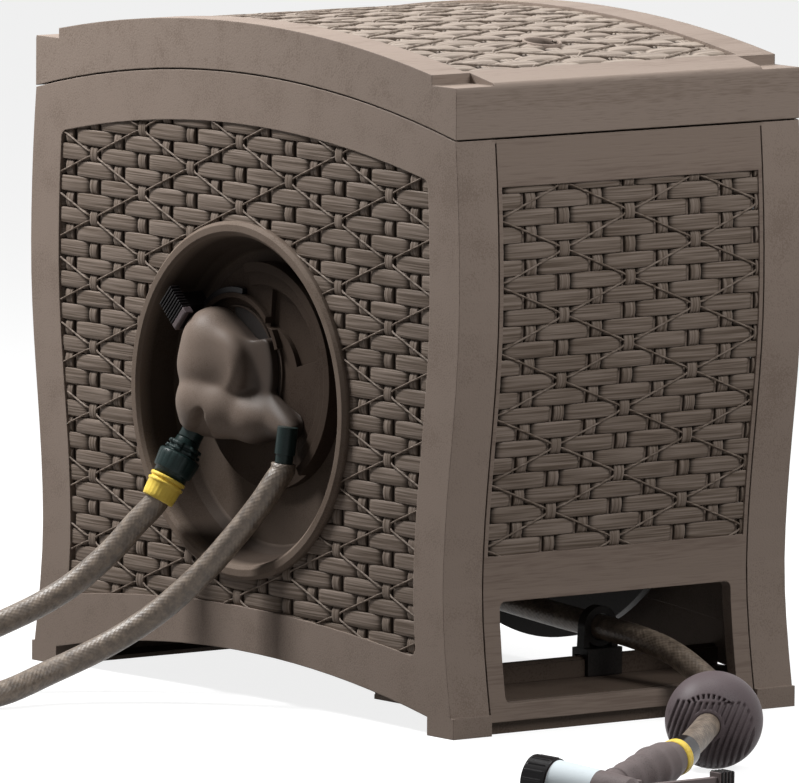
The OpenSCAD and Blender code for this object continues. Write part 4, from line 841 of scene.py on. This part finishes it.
def half_ball(name, sign, mouth):
    """Half of the ball, from the rim at the split to the mouth round the hose, and back along the bore."""
    polar = np.concatenate([np.linspace(89.7, 16.6, 170), [16.2, 15.9]])
    round_ = np.linspace(0, 2 * np.pi, BALL_SIDES, endpoint=False)
    p, a = np.radians(polar)[:, None], round_[None, :]
    front, across, high = BALL_R * np.cos(p) + 0 * a, BALL_R * np.sin(p) * np.sin(a), BALL_R * np.sin(p) * np.cos(a)
    r = 1 - (ball_relief(across, high, front) if mouth else 0) / BALL_R
    rows = np.stack([front * r, across * r, high * r], -1)
    bore = [np.stack([0 * round_ + d, BALL_BORE * np.sin(round_), BALL_BORE * np.cos(round_)], -1)
            for d in (39.4, 38.6, 0.2)]
    edge = rows[:1] * [0, 1, 1] + [0.2, 0, 0]
    rows = np.concatenate([np.stack([bore[2]]), edge, rows, np.stack(bore)], 0)
    points = (BALL_AT + sign * rows[..., :1] * ball_dir + rows[..., 1:2] * ball_side
              + rows[..., 2:] * np.array([0.0, 0.0, 1.0]))
    return closed_rows(name, points, ball_grape, "cabinet")


ball_front = half_ball("ball_front_skin", 1, True)
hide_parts("ball_front")
ball_rear = half_ball("ball_rear_skin", -1, False)
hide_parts("ball_rear")


# Nozzle: a soft-touch grip with finger waves, a barrel with a bare film band, a ribbed black spray face that
# turns, and a squeeze lever beside the grip.

def banded(material, start, direction, band, reach, shade):
    """Lays a shade over a plastic between two lengths along an axis and within reach of it, in millimetres."""
    tree = material.node_tree
    where = add(tree, "TexCoord")
    off = add(tree, "VectorMath", {0: where.outputs["Object"], 1: start / 1000}, operation="SUBTRACT")
    along = add(tree, "VectorMath", {0: off.outputs[0], 1: direction}, operation="DOT_PRODUCT")
    across = add(tree, "VectorMath", {0: off.outputs[0], 1: direction}, operation="CROSS_PRODUCT")
    far = add(tree, "VectorMath", {0: across.outputs[0]}, operation="LENGTH")
    near = add(tree, "Math", {0: far.outputs["Value"], 1: reach / 1000}, operation="LESS_THAN")
    between = add(tree, "Math", {0: along.outputs["Value"], 1: (band[0] + band[1]) / 2000,
                                 2: (band[1] - band[0]) / 2000}, operation="COMPARE")
    laid = add(tree, "Math", {0: near.outputs[0], 1: between.outputs[0]}, operation="MULTIPLY")
    over_base(material, laid.outputs[0], shade)


nozzle_soft = moulded("soft_touch_grip", "#5c5352", "#6b6160", 0.0011, 0.00015, 0.55)
bezel_gloss = moulded("black_gloss_bezel", "#0f0e0f", "#171516", 0.002, 0.00005, 0.22)
BAND_AT, NECK_AT = np.array([-231, -672.5, 33.1]), np.array([-338, -711, 18.0])
BARREL_AT, NOZZLE_TIP = np.array([-341, -741, 17.2]), np.array([-372.4, -657.3, 24.0])
grip_dir, barrel_dir = unit(NECK_AT - BAND_AT), unit(NOZZLE_TIP - BARREL_AT)
FILM_BAND, FILM_REACH = (26.0, 66.6), 20.6
barrel_skin = moulded("soft_touch_barrel_with_film", "#5c5352", "#6b6160", 0.0011, 0.00015, 0.5)
banded(barrel_skin, BARREL_AT, barrel_dir, FILM_BAND, FILM_REACH, "#cfd8dc")
finish_nodes(barrel_skin, "nozzle_body")
finish_nodes(nozzle_soft, "nozzle_trigger")
finish_nodes(bezel_gloss, "nozzle_bezel", "end_coupling")
BAND_PROFILE = [(0.1, 0), (0.1, 14.6), (0.6, 15.3), (2.2, 15.6), (2.8, 15.1), (3.4, 15.6), (7.6, 15.6), (8.4, 15.2),
                (8.8, 14.6), (8.8, 0)]
band = turned("coupling_band_skin", BAND_AT, grip_dir, BAND_PROFILE, collar_yellow, "cabinet",
              sides=72)
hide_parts("coupling_band")
GRIP_PROFILE = [(9.2, 0), (9.2, 14.8), (23, 17.8), (43, 18.1), (65, 15.8), (89, 14.5), (100, 14.4), (100, 0)]
WAVE_FROM, WAVE_PITCH, WAVE_HIGH, FLOOR_GAP = 34, 19, 0.9, 0.0002
h, r = np.array(GRIP_PROFILE).T
fine = np.concatenate([[9.2], np.arange(9.2, 100.1, 1.4), [100.0]])
fine_r = np.interp(fine, h[1:-1], r[1:-1]) * np.concatenate([[0], np.ones(len(fine) - 2), [0]])
grip_skin = turned("nozzle_grip_skin", BAND_AT, grip_dir, np.column_stack([fine, fine_r]), nozzle_soft, "cabinet",
                   sides=72,
                   wobble=lambda a, h: WAVE_HIGH * (h > WAVE_FROM)
                   * (0.5 - 0.5 * np.cos(2 * np.pi * (h - WAVE_FROM) / WAVE_PITCH)))
# The finger waves are held just above the floor.
co = np.empty(3 * len(grip_skin.data.vertices), np.float32)
grip_skin.data.vertices.foreach_get("co", co)
co[2::3] = np.maximum(co[2::3], FLOOR_GAP)
grip_skin.data.vertices.foreach_set("co", co)
TRIGGER_AT, TRIGGER_RIB = np.array([-318, -722, 18]), (0.9, 7.6, 8.9)
blocks("trigger_ribs", [(TRIGGER_AT + [x, -2.5, 0], TRIGGER_RIB, np.eye(3)) for x in np.arange(87.0, 99.0, 3.6)],
       bezel_gloss, "trigger")


# Metal and inner pieces: turned brass, zinc-plated steel, white acetal and black rubber seals, mostly out of
# sight. They keep the shapes of their solids.

def plain_finish(name, shade, rough, metal=0.0):
    """One even finish; turning marks and wear are too fine to see on these pieces."""
    made, tree = blank_material(name)
    surface(tree, {"Base Color": linear(shade), "Roughness": rough, "Metallic": metal})
    return made


tap_brass = plain_finish("turned_brass", "#c9a44c", 0.28, 1.0)
zinc_steel = plain_finish("zinc_plated_steel", "#a9abad", 0.35, 1.0)
white_acetal = plain_finish("white_acetal", "#d9d3c6", 0.4)
seal_black = plain_finish("seal_rubber", "#121212", 0.6)
finish_nodes(tap_brass, "supply_coupling", "swivel_spindle")
finish_nodes(zinc_steel, "hinge_pins", "panel_screws", "housing_screws", "ball_screws", "trigger_pin", "far_axle",
             "axle_clip")
finish_nodes(white_acetal, "turbine_wheel", "motor_pinion", "drive_gear", "far_bush")
finish_nodes(seal_black, "swivel_seals")


# Hose on the drum: the outer layer as one wound tube, and the layers under it as one ring of rounded turns, both
# of the hose's own vinyl. They turn with the drum.
WIND_R, WIND_TURNS, WIND_X0, WIND_PITCH = 151.0, 10.5, -114.8, 23.24
f = np.arange(0, 360 * WIND_TURNS + 1, 10.0)
wound = np.stack([WIND_X0 + WIND_PITCH * f / 360, WIND_R * np.sin(np.radians(f)),
                  AXIS_Z + WIND_R * np.cos(np.radians(f))], -1)
wound = np.vstack([onward(wound[::-1], END_RUN), wound, onward(wound, END_RUN)])
winding, _, _ = hose("wound_hose_skin", wound, body="drum", sides=14, step=0.012)
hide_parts("hose_winding")
CORE_TURNS, CORE_R, CORE_DIP, CORE_BORE, CORE_FROM, CORE_LONG = 11, 138.2, 5.5, 80.3, 0.3, 267.4
turns = np.linspace(0, CORE_TURNS, 111)
scallop = CORE_R - CORE_DIP * (1 - np.abs(np.sin(np.pi * turns)) ** 0.7)
core_profile = ([(CORE_FROM, CORE_BORE)] + [(CORE_FROM + CORE_LONG * t / CORE_TURNS, r) for t, r in zip(turns, scallop)]
                + [(CORE_FROM + CORE_LONG, CORE_BORE), (CORE_FROM, CORE_BORE)])
core = turned("inner_layers_skin", (-127.0, 0, AXIS_Z), (1, 0, 0), core_profile, hose_vinyl, "drum",
              sides=96)
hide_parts("hose_core")
